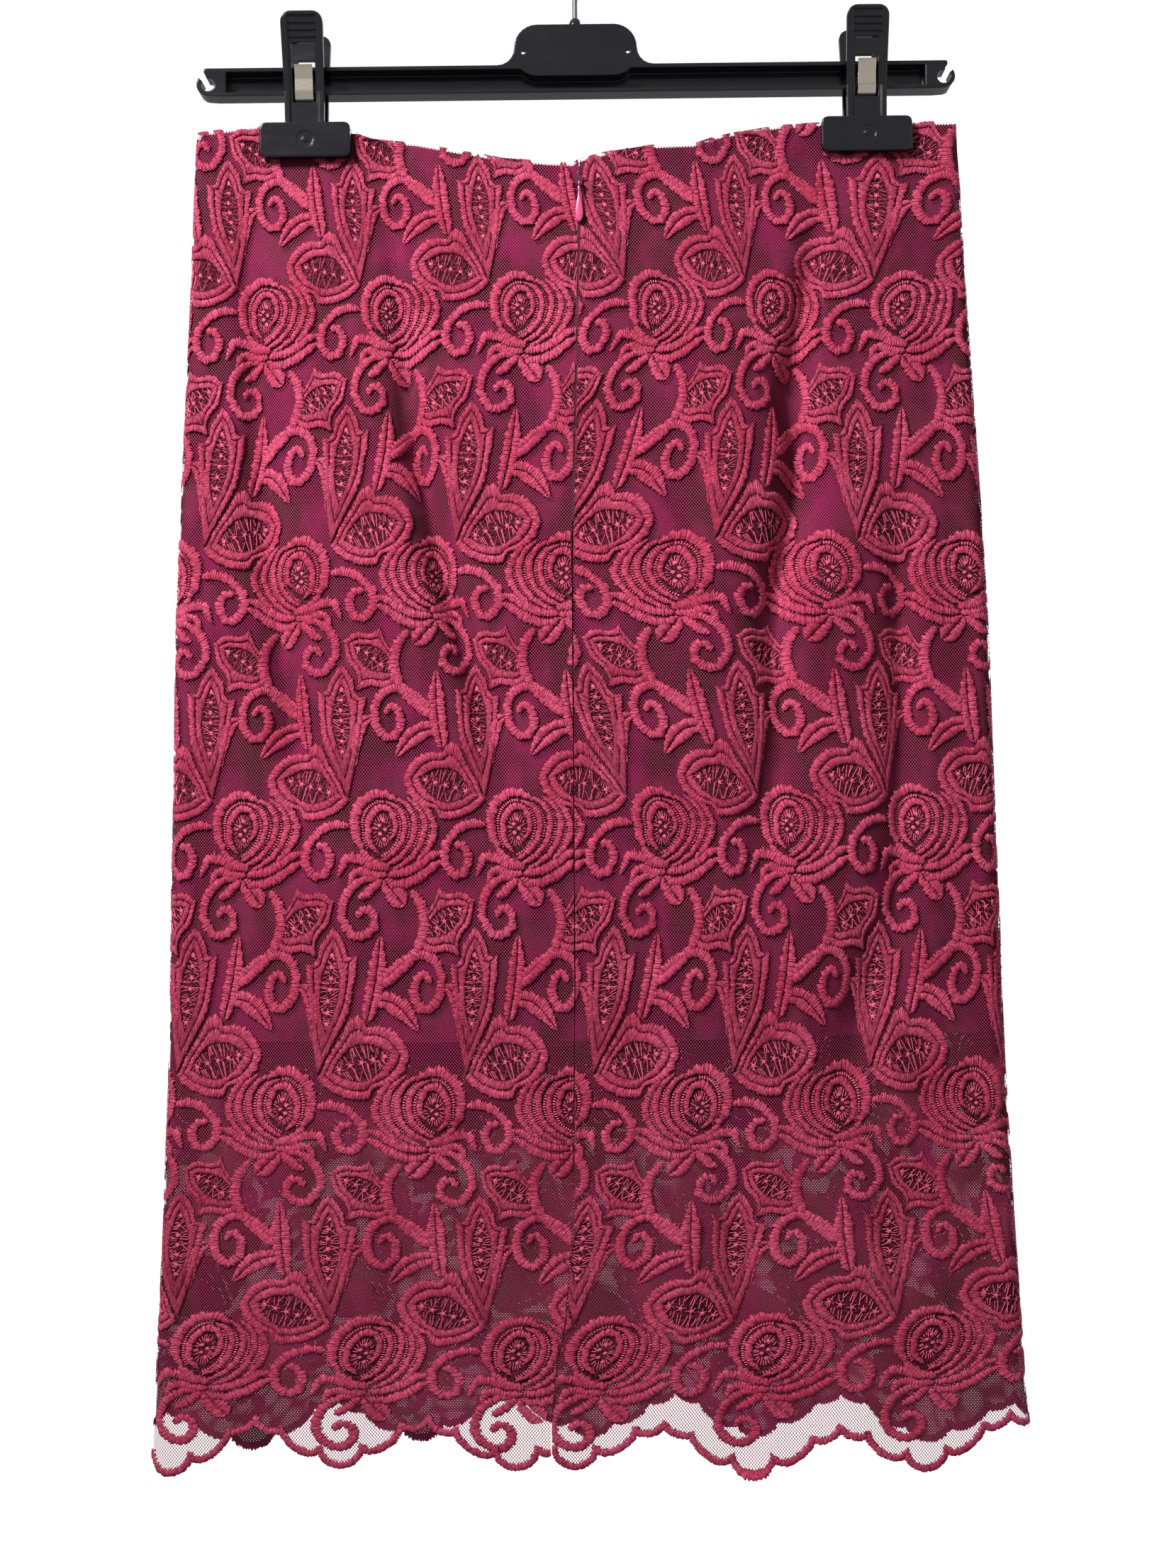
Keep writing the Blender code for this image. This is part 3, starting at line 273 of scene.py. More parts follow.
class Cloth:
    """The back or the front of the tube as a grid over (s, z)."""

    def __init__(self, front):
        self.front = front
        self.heights = GRID_TOP - GRID_STEP_Z * np.arange(GRID_ROWS)
        self.along = np.arange(-GRID_REACH, GRID_REACH + 1.0)
        grid = np.zeros((GRID_ROWS, len(self.along), 3))
        self.ends = {1: np.zeros(GRID_ROWS), -1: np.zeros(GRID_ROWS)}
        for row, z in enumerate(self.heights):
            for side in (1, -1):
                xs, ys, seam = tube_row(side, z)
                if front:
                    xs, ys, seam = xs[::-1], ys[::-1], len(xs) - 1 - seam
                length = np.concatenate([[0], np.cumsum(np.hypot(np.diff(xs), np.diff(ys)))])
                self.ends[side][row] = length[seam]
                here = self.along >= 0 if side > 0 else self.along < 0
                at = np.abs(self.along[here])
                grid[row, here, 0] = np.interp(at, length, xs)
                grid[row, here, 1] = np.interp(at, length, ys)
            grid[row, :, 2] = z
        self.grid = grid
        across = np.cross(np.gradient(grid, axis=1), np.gradient(grid, axis=0))
        self.out = across / np.linalg.norm(across, axis=2, keepdims=True)
        centre = self.out[GRID_ROWS // 2, GRID_REACH]
        if (centre[1] > 0) != front:
            self.out = -self.out

    def sample(self, field, s, z):
        """Read a field of the grid between its points."""
        row = np.clip((GRID_TOP - z) / GRID_STEP_Z, 0, GRID_ROWS - LAST_CELL)
        column = np.clip(s + GRID_REACH, 0, len(self.along) - LAST_CELL)
        r, c = row.astype(int), column.astype(int)
        fr, fc = (row - r)[..., None], (column - c)[..., None]
        top = field[r, c] * (1 - fc) + field[r, c + 1] * fc
        low = field[r + 1, c] * (1 - fc) + field[r + 1, c + 1] * fc
        return top * (1 - fr) + low * fr

    def place(self, s, z, lift):
        """Points of the cloth, lifted outward from the outside of the solids."""
        base = self.sample(self.grid, s, z)
        out = self.sample(self.out, s, z)
        return base + out * np.asarray(lift)[..., None]

    def end(self, side, z):
        """Distance along the cloth to the side seam."""
        return np.interp(-z, -self.heights, self.ends[side])

    def s_of_x(self, x, z):
        """Distances along the cloth of places across the skirt."""
        row = int(round((GRID_TOP - z) / GRID_STEP_Z))
        row = min(max(row, 0), GRID_ROWS - 1)
        return np.interp(x, self.grid[row, FLAT_PART, 0], self.along[FLAT_PART])

    def waist(self, s):
        """Height of the waist edge."""
        x = np.interp(s, self.along, self.grid[WAIST_ROW, :, 0])
        return WAIST_Z - read(FRONT_SAG if self.front else BACK_SAG, x)

    def hem(self, s):
        """Height of the scalloped edge."""
        if self.front:
            return CUSP_Z - scallop_drop(np.abs(s) - FRONT_FIRST_CUSP)
        first = np.where(s > 0, RIGHT_FIRST_CUSP, LEFT_FIRST_CUSP)
        return CUSP_Z + read(HEM_RISE, s) - scallop_drop(np.abs(s) - first)


# ---- the chart of the embroidery ----
CHART_PERIOD = 61.6       # from rose to rose along a row
CHART_ROW = 118.0         # from row to row
MIRROR_SHIFT = 0.37       # mirrored rows are shifted by this share of the period
BEYOND = 4                # periods that a row runs on past the roses in the table
STEP = 1.2                # length of a cross-section of a band
FULLNESS = 1.18           # how much wider a line of stitches lies than charted
ROW_HEIGHTS = (-87.0, -200.0, -323.0, -439.0, -567.0, -678.0, -790.0)
LAST_ROW = 5              # the row that ends in the scallops
MOST_REPEATS = 6          # each way from the centre, more than any panel needs
EDGE_STEPS = 16           # along each lobe of the edge cord

# where the roses of each row lie on the back: x of three neighbours, left panel and right panel, as
# measured in the photo. The first and last rows, whose own roses don't show, are guessed.
BACK_ROSES = (
    ((-124, -66, -10), (52, 112, 171)),
    ((-144, -86.7, -25.4), (37.9, 90, 151)),
    ((-131.3, -68.6, -9.4), (41.3, 112.7, 177.4)),
    ((-156, -90.4, -29.3), (37.4, 94.9, 154.4)),
    ((-141.3, -70.9, -8.4), (49.7, 114, 177)),
    ((-176.4, -101.8, -32), (7.2, 81.5, 158)),
    ((-150, -73, 4), (33, 110, 187)),
)
FRONT_PERIODS = (58, 59, 62, 63.5, 67.5, 77, 79)

# lines of satin stitch: points, widths, and how many bands lie side by side
STROKES = {
    "rose": (
        (((-9.2, -9.4), (-12.6, -3), (-13, 4.6), (-10, 11.4), (-4.4, 15.2), (2, 15.2),
          (6.6, 12)), (1.8, 4.2, 4.6, 4.6, 4.4, 3.8, 1.4), 1),
        (((-2.6, -10.6), (-6.4, -6.4), (-7.6, -0.6), (-6, 5.4), (-2, 9.4), (2.2, 8.2),
          (4.5, 3.4), (4.3, -1.6), (2, -5.4)),
         (1.2, 2.8, 3.2, 3.3, 3.2, 2.9, 2.6, 2.3, 1), 1),
        (((0.6, 12), (6, 9.4), (8.9, 3.4), (8.3, -3.8), (4.4, -10), (-1.4, -13.6)),
         (1.2, 2.5, 2.7, 2.7, 2.6, 1.4), 1),
        (((5.8, 13.8), (11.2, 9.8), (13.6, 2.8), (12.4, -5), (7.8, -11.6), (1, -15.8)),
         (1.2, 2.6, 2.8, 2.8, 2.7, 1.4), 1),
        (((10.6, 14), (15.8, 9.2), (18.1, 1.8), (16.5, -6.2), (11.4, -13.2), (3.8, -17.8)),
         (1.2, 2.6, 2.9, 2.9, 2.7, 1.6), 1),
        (((15.6, 12.8), (20.4, 7), (22.5, -0.2), (20.4, -7.8), (14.8, -14.4)),
         (1.2, 2.9, 3.2, 3, 1.8), 1),
        (((-10.6, -8.6), (-7.2, -12.4), (-2.4, -15.6), (2.4, -17.4)), (1.8, 3.4, 3.6, 2), 1),
        (((2.6, -16), (-4.6, -15.8), (-11, -13), (-16.4, -13.4), (-19.6, -20.8)),
         (2.4, 3.9, 4.4, 4.4, 0.8), 1),
        (((1.6, -19.6), (-4.6, -19.8), (-9.6, -18.2), (-13, -19.4), (-14.6, -24.6)),
         (2.4, 3.8, 4, 3.6, 0.8), 1),
        (((1.8, -19.6), (9.4, -18.6), (16, -15.6), (21.4, -11.8), (27.4, -10.2)),
         (2.6, 3.9, 4.2, 3.8, 0.8), 1),
        (((2.8, -23.6), (10, -23.4), (16.8, -20.4), (22.2, -16.4), (26.6, -13.8)),
         (2.6, 4.1, 4.3, 3.6, 0.8), 1),
        (((0.2, -21.6), (4.4, -27), (9.6, -32.6)), (4.4, 7.8, 8), 2),
        (((-0.8, -21.4), (-5.4, -26.2), (-10.4, -29.8)), (3, 4.2, 3.2), 1),
    ),
    "curls": (
        (((-2.2, -20.8), (-9, -21.8), (-14.2, -26), (-17.1, -32.8), (-16, -39.8),
          (-11.2, -45), (-6, -44.6), (-3, -39.8), (-4.8, -35), (-8.6, -34.4),
          (-10.2, -37.8)),
         (2.8, 3.6, 3.9, 3.9, 3.9, 4, 4, 3.8, 3.6, 3.4, 2.8), 1),
        (((-15.6, 1), (-22.4, 1.6), (-29.4, -1.8), (-33.8, -8), (-34, -14.8),
          (-30, -20), (-25, -18.4), (-23.4, -12.6), (-25.8, -7.8), (-30.2, -7.4)),
         (3.6, 3.8, 4, 4.1, 4.2, 4.3, 4.2, 4, 3.8, 3), 1),
    ),
    "below": (
        (((12.4, -26.4), (16.7, -32.2), (18.4, -39.6), (17.2, -47.6), (12.8, -55.2),
          (6.6, -61.4), (0.8, -66.4)), (3.6, 4.3, 4.5, 4.5, 4.4, 4.4, 3.8), 1),
    ),
    "above": (
        (((21.8, 54.8), (14.6, 61.2), (6.6, 65), (-0.8, 61.6), (-3.4, 53.6), (-1.6, 45.4),
          (3.4, 41.8), (8, 46), (7.8, 53.2), (4, 56.6), (1.3, 52.6)),
         (3.4, 3.9, 4.1, 4.1, 4.1, 4.2, 4.3, 4.2, 3.9, 3.4, 2.8), 1),
        (((-4.4, 51.2), (-8.6, 48.8), (-11.2, 41), (-12, 28.4)), (2.8, 5, 4.9, 0.8), 2),
        (((-34.2, 36.8), (-36.2, 48), (-37.6, 60), (-38.2, 73)), (4.4, 6.8, 7.3, 0.8), 2),
        (((-36.6, 45.4), (-42.6, 45.2), (-49, 41.2), (-55.6, 32.8)), (3.4, 7.4, 7.8, 1), 2),
    ),
}
# gaps between petals that short stitches cross
COMBS = (
    ((4, 9.2), (6.6, 3.4), (6.1, -3.2), (3, -8.8), (-2, -12.2)),
    ((5.4, 11.4), (9.8, 6.6), (11, 0.2), (8.8, -6.6), (3.6, -12.2)),
    ((9.8, 12), (14.2, 7), (15.7, 0.2), (13.4, -7), (7.6, -13.4)),
    ((14, 12.2), (18.4, 6.8), (20.2, -0.2), (17.8, -7.6), (12.4, -13.6)),
    ((-7, -9.4), (-9.4, -3.4), (-9.8, 3.4), (-7.6, 8.8), (-3.4, 12), (0.6, 12.2)),
)
# leaves with an open centre: one side and the other from base to tip, then the centre's two ends
# and half its width. A point given twice is a corner.
LEAVES = {
    "above": (
        (((-15, 13.5), (-20.2, 26), (-26.2, 39), (-28.4, 52), (-29.6, 65),
          (-29.6, 65), (-25.6, 64), (-23, 71), (-18.5, 77)),
         ((-15, 13.5), (-12.2, 27), (-9.6, 40), (-8.5, 50), (-6.6, 61),
          (-6.6, 61), (-11.4, 61.8), (-13.4, 69.5), (-18.5, 77)),
         (-17.4, 33), (-18.6, 67), 3.9),
        (((-15, 12.4), (-19, 22), (-24, 31), (-27.2, 38.6), (-31.8, 39.6),
          (-34.8, 35), (-42, 35), (-49, 30), (-52.6, 22)),
         ((-15, 12.4), (-20.6, 7.2), (-28, 4.2), (-35.8, 3.8), (-38.6, 8.4),
          (-45.2, 10.4), (-50.4, 15.2), (-52.6, 22)),
         (-21.4, 15.8), (-44.4, 23.2), 7.6),
    ),
    "below": (
        (((-47, -47.5), (-44.4, -38.6), (-39.6, -31.8), (-37, -24.6), (-37, -24.6),
          (-32.6, -27.4), (-26, -26.8), (-20.4, -30.6)),
         ((-47, -47.5), (-40.4, -53.2), (-33.6, -52.2), (-27, -54.6), (-27, -54.6),
          (-27.6, -47.4), (-22.4, -40), (-20.4, -30.6)),
         (-43.2, -45.6), (-25.4, -33.2), 4.8),
    ),
}
# the open centre of a rose: where it lies, half its width and height, its knots and its threads
SEED_CENTRE = (-1.4, -0.8)
SEED_HALF = (4.3, 7.4)
SEED_KNOTS = ((0.5, 4.4), (-1.3, 2.0), (1.2, 0.2), (-1.0, -1.7), (0.9, -4.0))
SEED_THREADS = 24
# a dark sheet of painted shade under the whole rose, showing in its centre and between its petals:
# its ends and half width
ROSE_GROUND = ((-1.6, -16.4), (6.4, 15.0), 13.4)

# a band's cross-section: places from one edge to the other, and how high it stands there
ACROSS = np.array((-1.0, -0.88, 0.0, 0.88, 1.0))
DOME = np.array((0.12, 0.88, 1.0, 0.88, 0.12))
OPEN_MARK = 60.0          # second uv coordinate of open ground, and of loose threads below zero
RAGGED = 0.15             # how unevenly the stitches of a band end, in millimetres
NARROW = 1.5              # narrower bands end more evenly
FULL_HEIGHT_WIDTH = 2.2   # and bands narrower than this are lower, in proportion
CLOSE = 0.80              # less than 1 where an edge lies against another band: fewer ragged ends
BAND_GAP = 0.05           # half the gap between two bands of a stroke
LEAF_GAP = 0.04           # and of a leaf
CURVE_STEPS = 14          # between two points of a table
LENS_SHAPE = 0.85         # below 1, an open centre has blunter ends
LENS_KNOT_PITCH = 4.3
LENS_THREAD_PITCH = 1.3
KNOT_RADIUS = 0.95
KNOT_RAYS = 5
TINY = 1e-9               # keeps a length above zero


def quads_between(index):
    """Quads between neighbours in a grid of point numbers."""
    quads = np.stack([index[:-1, :-1], index[1:, :-1], index[1:, 1:], index[:-1, 1:]], axis=2)
    return quads.reshape(-1, 4)


def grid_quads(rows, columns):
    return quads_between(np.arange(rows * columns).reshape(rows, columns))


def normals(line):
    """Unit vectors at right angles to a line, at each of its points."""
    along = np.gradient(line, axis=0)
    along /= np.linalg.norm(along, axis=1, keepdims=True) + TINY
    return np.stack([-along[:, 1], along[:, 0]], axis=1)


def smooth_line(points, step):
    """Evenly spaced points on a smooth curve, where each lies on the scale of the given points,
    and its distance along the curve."""
    points = np.array(points, float)
    spans = np.arange(len(points) - 1)
    t = np.linspace(0, 1, CURVE_STEPS, endpoint=False)[None, :, None]
    a, b, c, d = (points[np.clip(spans + k, 0, len(points) - 1)][:, None] for k in (-1, 0, 1, 2))
    curve = 0.5 * (2 * b + (c - a) * t + (2 * a - 5 * b + 4 * c - d) * t ** 2
                   + (3 * b - a - 3 * c + d) * t ** 3)
    curve = np.vstack([curve.reshape(-1, 2), points[-1:]])
    key = np.append((spans[:, None] + t[0, :, 0]).ravel(), spans[-1] + 1)
    length = np.concatenate([[0], np.cumsum(np.linalg.norm(np.diff(curve, axis=0), axis=1))])
    steps = max(3, int(round(length[-1] / step)))
    even = np.linspace(0, length[-1], steps + 1)
    even_points = np.stack([np.interp(even, length, curve[:, k]) for k in (0, 1)], axis=1)
    return even_points, np.interp(even, length, key), even


class Stitches:
    """Satin stitch, threads, knots and open ground on a chart."""

    def __init__(self):
        self.points, self.lifts, self.uvs, self.faces, self.total = [], [], [], [], 0

    def put(self, points, lifts, uvs, faces):
        """Keep a piece of mesh: its points on the chart, their heights over the net, uv and quads."""
        self.points.append(points)
        self.lifts.append(lifts)
        self.uvs.append(uvs)
        self.faces.append(faces + self.total)
        self.total += len(points)

    def between(self, rail_a, rail_b, along, rise, rough_a=0.0, rough_b=0.0):
        """A domed band between two lines with the same number of points. An edge that is less
        rough than usual lies close against the next band."""
        rows = len(rail_a)
        share = (ACROSS[None, :, None] + 1) / 2
        width = np.linalg.norm(rail_a - rail_b, axis=1)
        out = (rail_a - rail_b) / (width[:, None] + TINY)
        uneven = RAGGED * np.minimum(width, NARROW)[:, None] / NARROW
        a = rail_a + out * uneven * rng.normal(rough_a, 1.0 + rough_a, (rows, 1))
        b = rail_b - out * uneven * rng.normal(rough_b, 1.0 + rough_b, (rows, 1))
        points = a[:, None] * (1 - share) + b[:, None] * share
        height = rise * np.clip(width / FULL_HEIGHT_WIDTH, 0.25, 1.0)
        lift = STITCH_BASE + height[:, None] * DOME[None, :]
        across = ACROSS * np.where(ACROSS < 0, CLOSE if rough_a < 0 else 1.0,
                                   CLOSE if rough_b < 0 else 1.0)
        uv = np.stack([np.broadcast_to(along[:, None], lift.shape),
                       np.broadcast_to(across[None, :], lift.shape)], axis=2)
        self.put(points.reshape(-1, 2), lift.ravel(),
                 uv.reshape(-1, 2) + [rng.uniform(0, 40), 0], grid_quads(rows, len(ACROSS)))

    def stroke(self, points, widths, bands):
        """One or two bands along a line, with rounded ends."""
        line, key, along = smooth_line(points, STEP)
        width = np.interp(key, np.arange(len(widths)), widths) * FULLNESS
        for ends in (along, along[-1] - along):
            radius = np.maximum(width / 2, 0.4)
            inside = np.clip(1 - ends / radius, 0, 0.97)
            width = width * np.sqrt(1 - inside ** 2)
        normal = normals(line)
        half = normal * width[:, None] / 2
        if bands == 1:
            self.between(line - half, line + half, along, STITCH_RISE, 0.2, 0.2)
        else:
            gap = normal * np.minimum(BAND_GAP, width / 8)[:, None]
            for k in (-1, 1):
                self.between(line + k * half, line + k * gap, along, STITCH_RISE * 0.9, 0.2, -0.4)

    def thread(self, start, end, width=0.42, rise=0.34):
        """A single thread over open ground, or across a gap."""
        start, end = np.array(start), np.array(end)
        side = np.array([start[1] - end[1], end[0] - start[0]])
        side = side / (np.linalg.norm(side) + TINY) * width / 2
        rails = [np.array([start + k * side, end + k * side]) for k in (-1, 0, 1)]
        points = np.stack(rails, axis=1).reshape(-1, 2)
        lift = np.tile([STITCH_BASE, STITCH_BASE + rise, STITCH_BASE], 2)
        reach = float(np.linalg.norm(end - start))
        uv = [(at, across - OPEN_MARK) for at in (0, reach) for across in (-0.2, 0, 0.2)]
        self.put(points, lift, np.array(uv), np.array([(0, 3, 4, 1), (1, 4, 5, 2)]))

    def knot(self, centre):
        """A small raised knot, six-sided."""
        turn = rng.uniform(0, math.tau)
        rim = []
        for i in range(6):
            angle = turn + math.tau * i / 6
            reach = KNOT_RADIUS * rng.uniform(0.8, 1.15, 2)
            rim.append((centre[0] + reach[0] * math.cos(angle),
                        centre[1] + reach[1] * math.sin(angle)))
        self.put(np.array([centre] + rim),
                 np.array([STITCH_BASE + 0.75] + [STITCH_BASE + 0.2] * 6),
                 np.array([(0.3 * i, -OPEN_MARK) for i in range(7)]),
                 np.array([(0, 1, 2, 3), (0, 3, 4, 5), (0, 5, 6, 1)]))

    def ground(self, start, end, half):
        """A dark sheet just above the net in an open centre: painted shade that shows between the
        threads.
        """
        start, end = np.array(start), np.array(end)
        axis = end - start
        side = np.array([-axis[1], axis[0]]) / np.linalg.norm(axis)
        rows = int(np.linalg.norm(axis) / 2.2) + 3
        columns = 2 * int(half / 2.0) + 3
        share = np.linspace(0.01, 0.99, rows)
        middle = start + axis * share[:, None]
        reach = side * (half * 1.06 * np.sin(math.pi * share) ** LENS_SHAPE)[:, None]
        across = np.linspace(-1, 1, columns)[None, :, None]
        points = (middle[:, None] + reach[:, None] * across).reshape(-1, 2)
        self.put(points, np.full(len(points), GROUND_LIFT), points * 0.01 + [0.0, OPEN_MARK],
                 grid_quads(rows, columns))

    def lens(self, start, end, half):
        """Threads and knots in the open centre of a leaf."""
        self.ground(start, end, half)
        start, end = np.array(start), np.array(end)
        length = float(np.linalg.norm(end - start))
        axis = (end - start) / length
        side = np.array([-axis[1], axis[0]])
        knots = max(3, int(length / LENS_KNOT_PITCH))
        for p in (np.arange(knots) + 0.55) / (knots + 0.1):
            centre = start + axis * length * p + side * rng.uniform(-0.4, 0.4)
            self.knot(centre)
            turn = rng.uniform(0, math.tau)
            for k in range(KNOT_RAYS):
                angle = turn + math.tau * k / KNOT_RAYS
                ray = rng.uniform(1.5, 2.3) * np.array([math.cos(angle), math.sin(angle)])
                self.thread(centre, centre + ray, 0.34)
        steps = int(length / LENS_THREAD_PITCH)
        for k in (1, -1):
            for i in range(1, steps):
                near, far = ((i + rng.uniform(-0.9, 0.9)) / steps for _ in range(2))
                far = min(max(far, 0.03), 0.97)
                inner = half * math.sin(math.pi * far) * rng.uniform(0.10, 0.50)
                a = start + axis * length * near + side * k * inner
                b = start + axis * length * far + side * k * half * math.sin(math.pi * far)
                self.thread(a, b, rng.uniform(0.30, 0.44))

    def leaf(self, left, right, start, end, half):
        """Two nested bands on each side of an open centre, drawn from base to tip."""
        start, end = np.array(start), np.array(end)
        axis = end - start
        side = np.array([-axis[1], axis[0]]) / np.linalg.norm(axis)
        for outline in (left, right):
            line, _, along = smooth_line(outline, STEP)
            share = along / along[-1]
            middle = line[len(line) // 2]
            k = 1 if np.dot(middle - start, side) > 0 else -1
            rim = (start + axis * share[:, None]
                   + side * k * half * (np.sin(math.pi * share) ** LENS_SHAPE)[:, None])
            split = (line + rim) / 2
            gap = (line - rim) / (np.linalg.norm(line - rim, axis=1, keepdims=True) + TINY)
            gap *= LEAF_GAP
            self.between(line, split + gap, along, STITCH_RISE, 0.3, -0.4)
            self.between(split - gap, rim, along, STITCH_RISE * 0.9, -0.4, 0.4)
        self.lens(start, end, half)

    def comb(self, points, reach=1.25, pitch=1.15):
        """Short stitches across the gap beside a petal."""
        line = smooth_line(points, pitch)[0]
        for place, normal in zip(line[1:-1], normals(line)[1:-1]):
            half = normal * reach * rng.uniform(0.7, 1.1) / 2
            self.thread(place - half, place + half, rng.uniform(0.5, 0.7), 0.5)

    def gather(self):
        return (np.vstack(self.points), np.concatenate(self.lifts), np.vstack(self.uvs),
                np.vstack(self.faces))


def chart_motif(parts):
    """One repeat of the chart: the rose with its curls, and what stands above or hangs below."""
    made = Stitches()
    for part in parts:
        for stroke in STROKES.get(part, ()):
            made.stroke(*stroke)
        for leaf in LEAVES.get(part, ()):
            made.leaf(*leaf)
    if "rose" in parts:
        made.ground(*ROSE_GROUND)
        for gap in COMBS:
            made.comb(gap)
        cx, cz = SEED_CENTRE
        for dx, dz in SEED_KNOTS:
            made.knot((cx + dx, cz + dz))
        for k in range(SEED_THREADS):
            far, near = (math.tau * (k + rng.uniform(-0.4, 0.4)) / SEED_THREADS for _ in range(2))
            reach = rng.uniform(0.40, 0.75)
            made.thread((cx + SEED_HALF[0] * reach * math.cos(near),
                         cz + SEED_HALF[1] * reach * math.sin(near)),
                        (cx + SEED_HALF[0] * math.cos(far), cz + SEED_HALF[1] * math.sin(far)),
                        0.40)
    return made.gather()


# ---- the chart laid on the cloth ----
def mirrored(row):
    return row % 2 == 0


def row_shift(row):
    return MIRROR_SHIFT if mirrored(row) else 0.0


def row_places(cloth):
    """For each row of roses and each side: places on the chart and along the cloth."""
    rows = []
    for row, z in enumerate(ROW_HEIGHTS):
        sides = {}
        for side, roses in zip((-1, 1), BACK_ROSES[row]):
            chart = np.array((-1.0, 0.0, 1.0))
            if cloth.front:
                along = chart * FRONT_PERIODS[row]
            else:
                chart = chart + row_shift(row)
                along = cloth.s_of_x(np.array(roses), z)
            beyond = BEYOND * (along[-1] - along[0]) / 2
            sides[side] = (np.array([chart[0] - BEYOND, *chart, chart[-1] + BEYOND]),
                           np.array([along[0] - beyond, *along, along[-1] + beyond]))
        rows.append(sides)
    return rows


def to_cloth(rows, side, chart_x, chart_z):
    """Turn chart coordinates, in millimetres from the first row's own rose, to (s, z)."""
    levels = -CHART_ROW * np.arange(len(ROW_HEIGHTS))
    z = np.interp(-chart_z, -levels, ROW_HEIGHTS)
    place = np.clip(-chart_z / CHART_ROW, 0, len(ROW_HEIGHTS) - LAST_CELL)
    upper = place.astype(int)
    share = place - upper
    p = chart_x / CHART_PERIOD
    alongs = np.stack([np.interp(p, *sides[side]) for sides in rows])
    column = np.arange(len(p))
    return alongs[upper, column] * (1 - share) + alongs[upper + 1, column] * share, z


class Panel:
    """One sewn piece of lace, or half the front, with the edges that cut the embroidery."""

    def __init__(self, cloth, side, centre_gap):
        self.cloth, self.side, self.centre_gap = cloth, side, centre_gap
        self.points, self.uvs, self.faces, self.total = [], [], [], 0

    def clamp(self, s, z, inset):
        """Move points to the panel's edges where they pass them, and say which were inside."""
        side = self.side
        along = s * side
        gap = np.where(z > ZIP_END_Z, ZIP_WIDENING, 1.0) * self.centre_gap
        far = self.cloth.end(side, z) - SIDE_GAP
        along_in = np.clip(along, gap, far)
        s_in = along_in * side
        top = self.cloth.waist(s_in) + OVER_WAIST
        low = self.cloth.hem(s_in) + inset
        z_in = np.clip(z, low, top)
        inside = (along >= gap) & (along <= far) & (z <= top) & (z >= low)
        return s_in, z_in, inside

    def add(self, s, z, lift, uv, quads, inset=EMBROIDERY_IN):
        """Lay stitches on the panel, without those that lie wholly past its edges."""
        s_in, z_in, inside = self.clamp(s, z, inset)
        quads = quads[inside[quads].any(axis=1)]
        if not len(quads):
            return
        used, index = np.unique(quads, return_inverse=True)
        self.points.append(self.cloth.place(s_in[used], z_in[used], lift[used] - NET_INSET))
        self.uvs.append(uv[used])
        self.faces.append(index.reshape(quads.shape) + self.total)
        self.total += len(used)

    def make(self, name, finish):
        return add_mesh(name, np.vstack(self.points), np.vstack(self.faces), finish,
                        np.vstack(self.uvs))


def add_mesh(name, points, faces, finish, uvs=None):
    """Make a smooth-shaded mesh of triangles or quads from arrays in millimetres."""
    sides = faces.shape[1]
    mesh = bpy.data.meshes.new(name)
    mesh.vertices.add(len(points))
    mesh.vertices.foreach_set("co", (points * MM).astype(np.float32).ravel())
    mesh.loops.add(faces.size)
    mesh.loops.foreach_set("vertex_index", faces.astype(np.int32).ravel())
    mesh.polygons.add(len(faces))
    mesh.polygons.foreach_set("loop_start", np.arange(0, faces.size, sides, dtype=np.int32))
    mesh.polygons.foreach_set("use_smooth", np.ones(len(faces), bool))
    if uvs is not None:
        layer = mesh.uv_layers.new(name="UVMap")
        layer.data.foreach_set("uv", uvs[faces.ravel()].astype(np.float32).ravel())
    mesh.materials.append(finish)
    mesh.update(calc_edges=True)
    mesh.validate()
    made = bpy.data.objects.new(name, mesh)
    bpy.context.scene.collection.objects.link(made)
    return made


def lay_embroidery(panel, motifs):
    """Lay each row's motif side by side over a panel, every other row mirrored."""
    side = panel.side
    rows = row_places(panel.cloth)
    seam = panel.cloth.end(side, HEM_SIDE_Z)
    for row, (points, lift, uv, quads) in enumerate(motifs):
        local = points * [-1, 1] if mirrored(row) else points
        chart_z = local[:, 1] - row * CHART_ROW
        for column in range(-MOST_REPEATS, MOST_REPEATS + 1):
            chart_x = local[:, 0] + (column + row_shift(row)) * CHART_PERIOD
            s, z = to_cloth(rows, side, chart_x, chart_z)
            reach = s * side
            if reach.max() >= 0 and reach.min() <= seam:
                panel.add(s, z, lift, uv, quads)


def lay_edge_cord(panel):
    """The band of satin stitch along the scallops."""
    s = hem_stations(panel.cloth, panel.side, EDGE_STEPS) * panel.side
    points = np.stack([s, panel.cloth.hem(s) + EDGE_CORD_IN], axis=1)
    length = np.concatenate([[0], np.cumsum(np.linalg.norm(np.diff(points, axis=0), axis=1))])
    half = normals(points) * EDGE_CORD / 2
    cord = Stitches()
    cord.between(points - half, points + half, length, EDGE_CORD_RISE)
    points, lift, uv, quads = cord.gather()
    panel.add(points[:, 0], points[:, 1], lift, uv, quads, UNCUT)


# ---- sheets of net and lining ----
NET_COLUMNS = {"back": 8, "front": 5}    # for each lobe of the hem
NET_ROWS = 150
LINING_COLUMNS = 60           # from the centre to the side seam
LINING_ROWS = 110


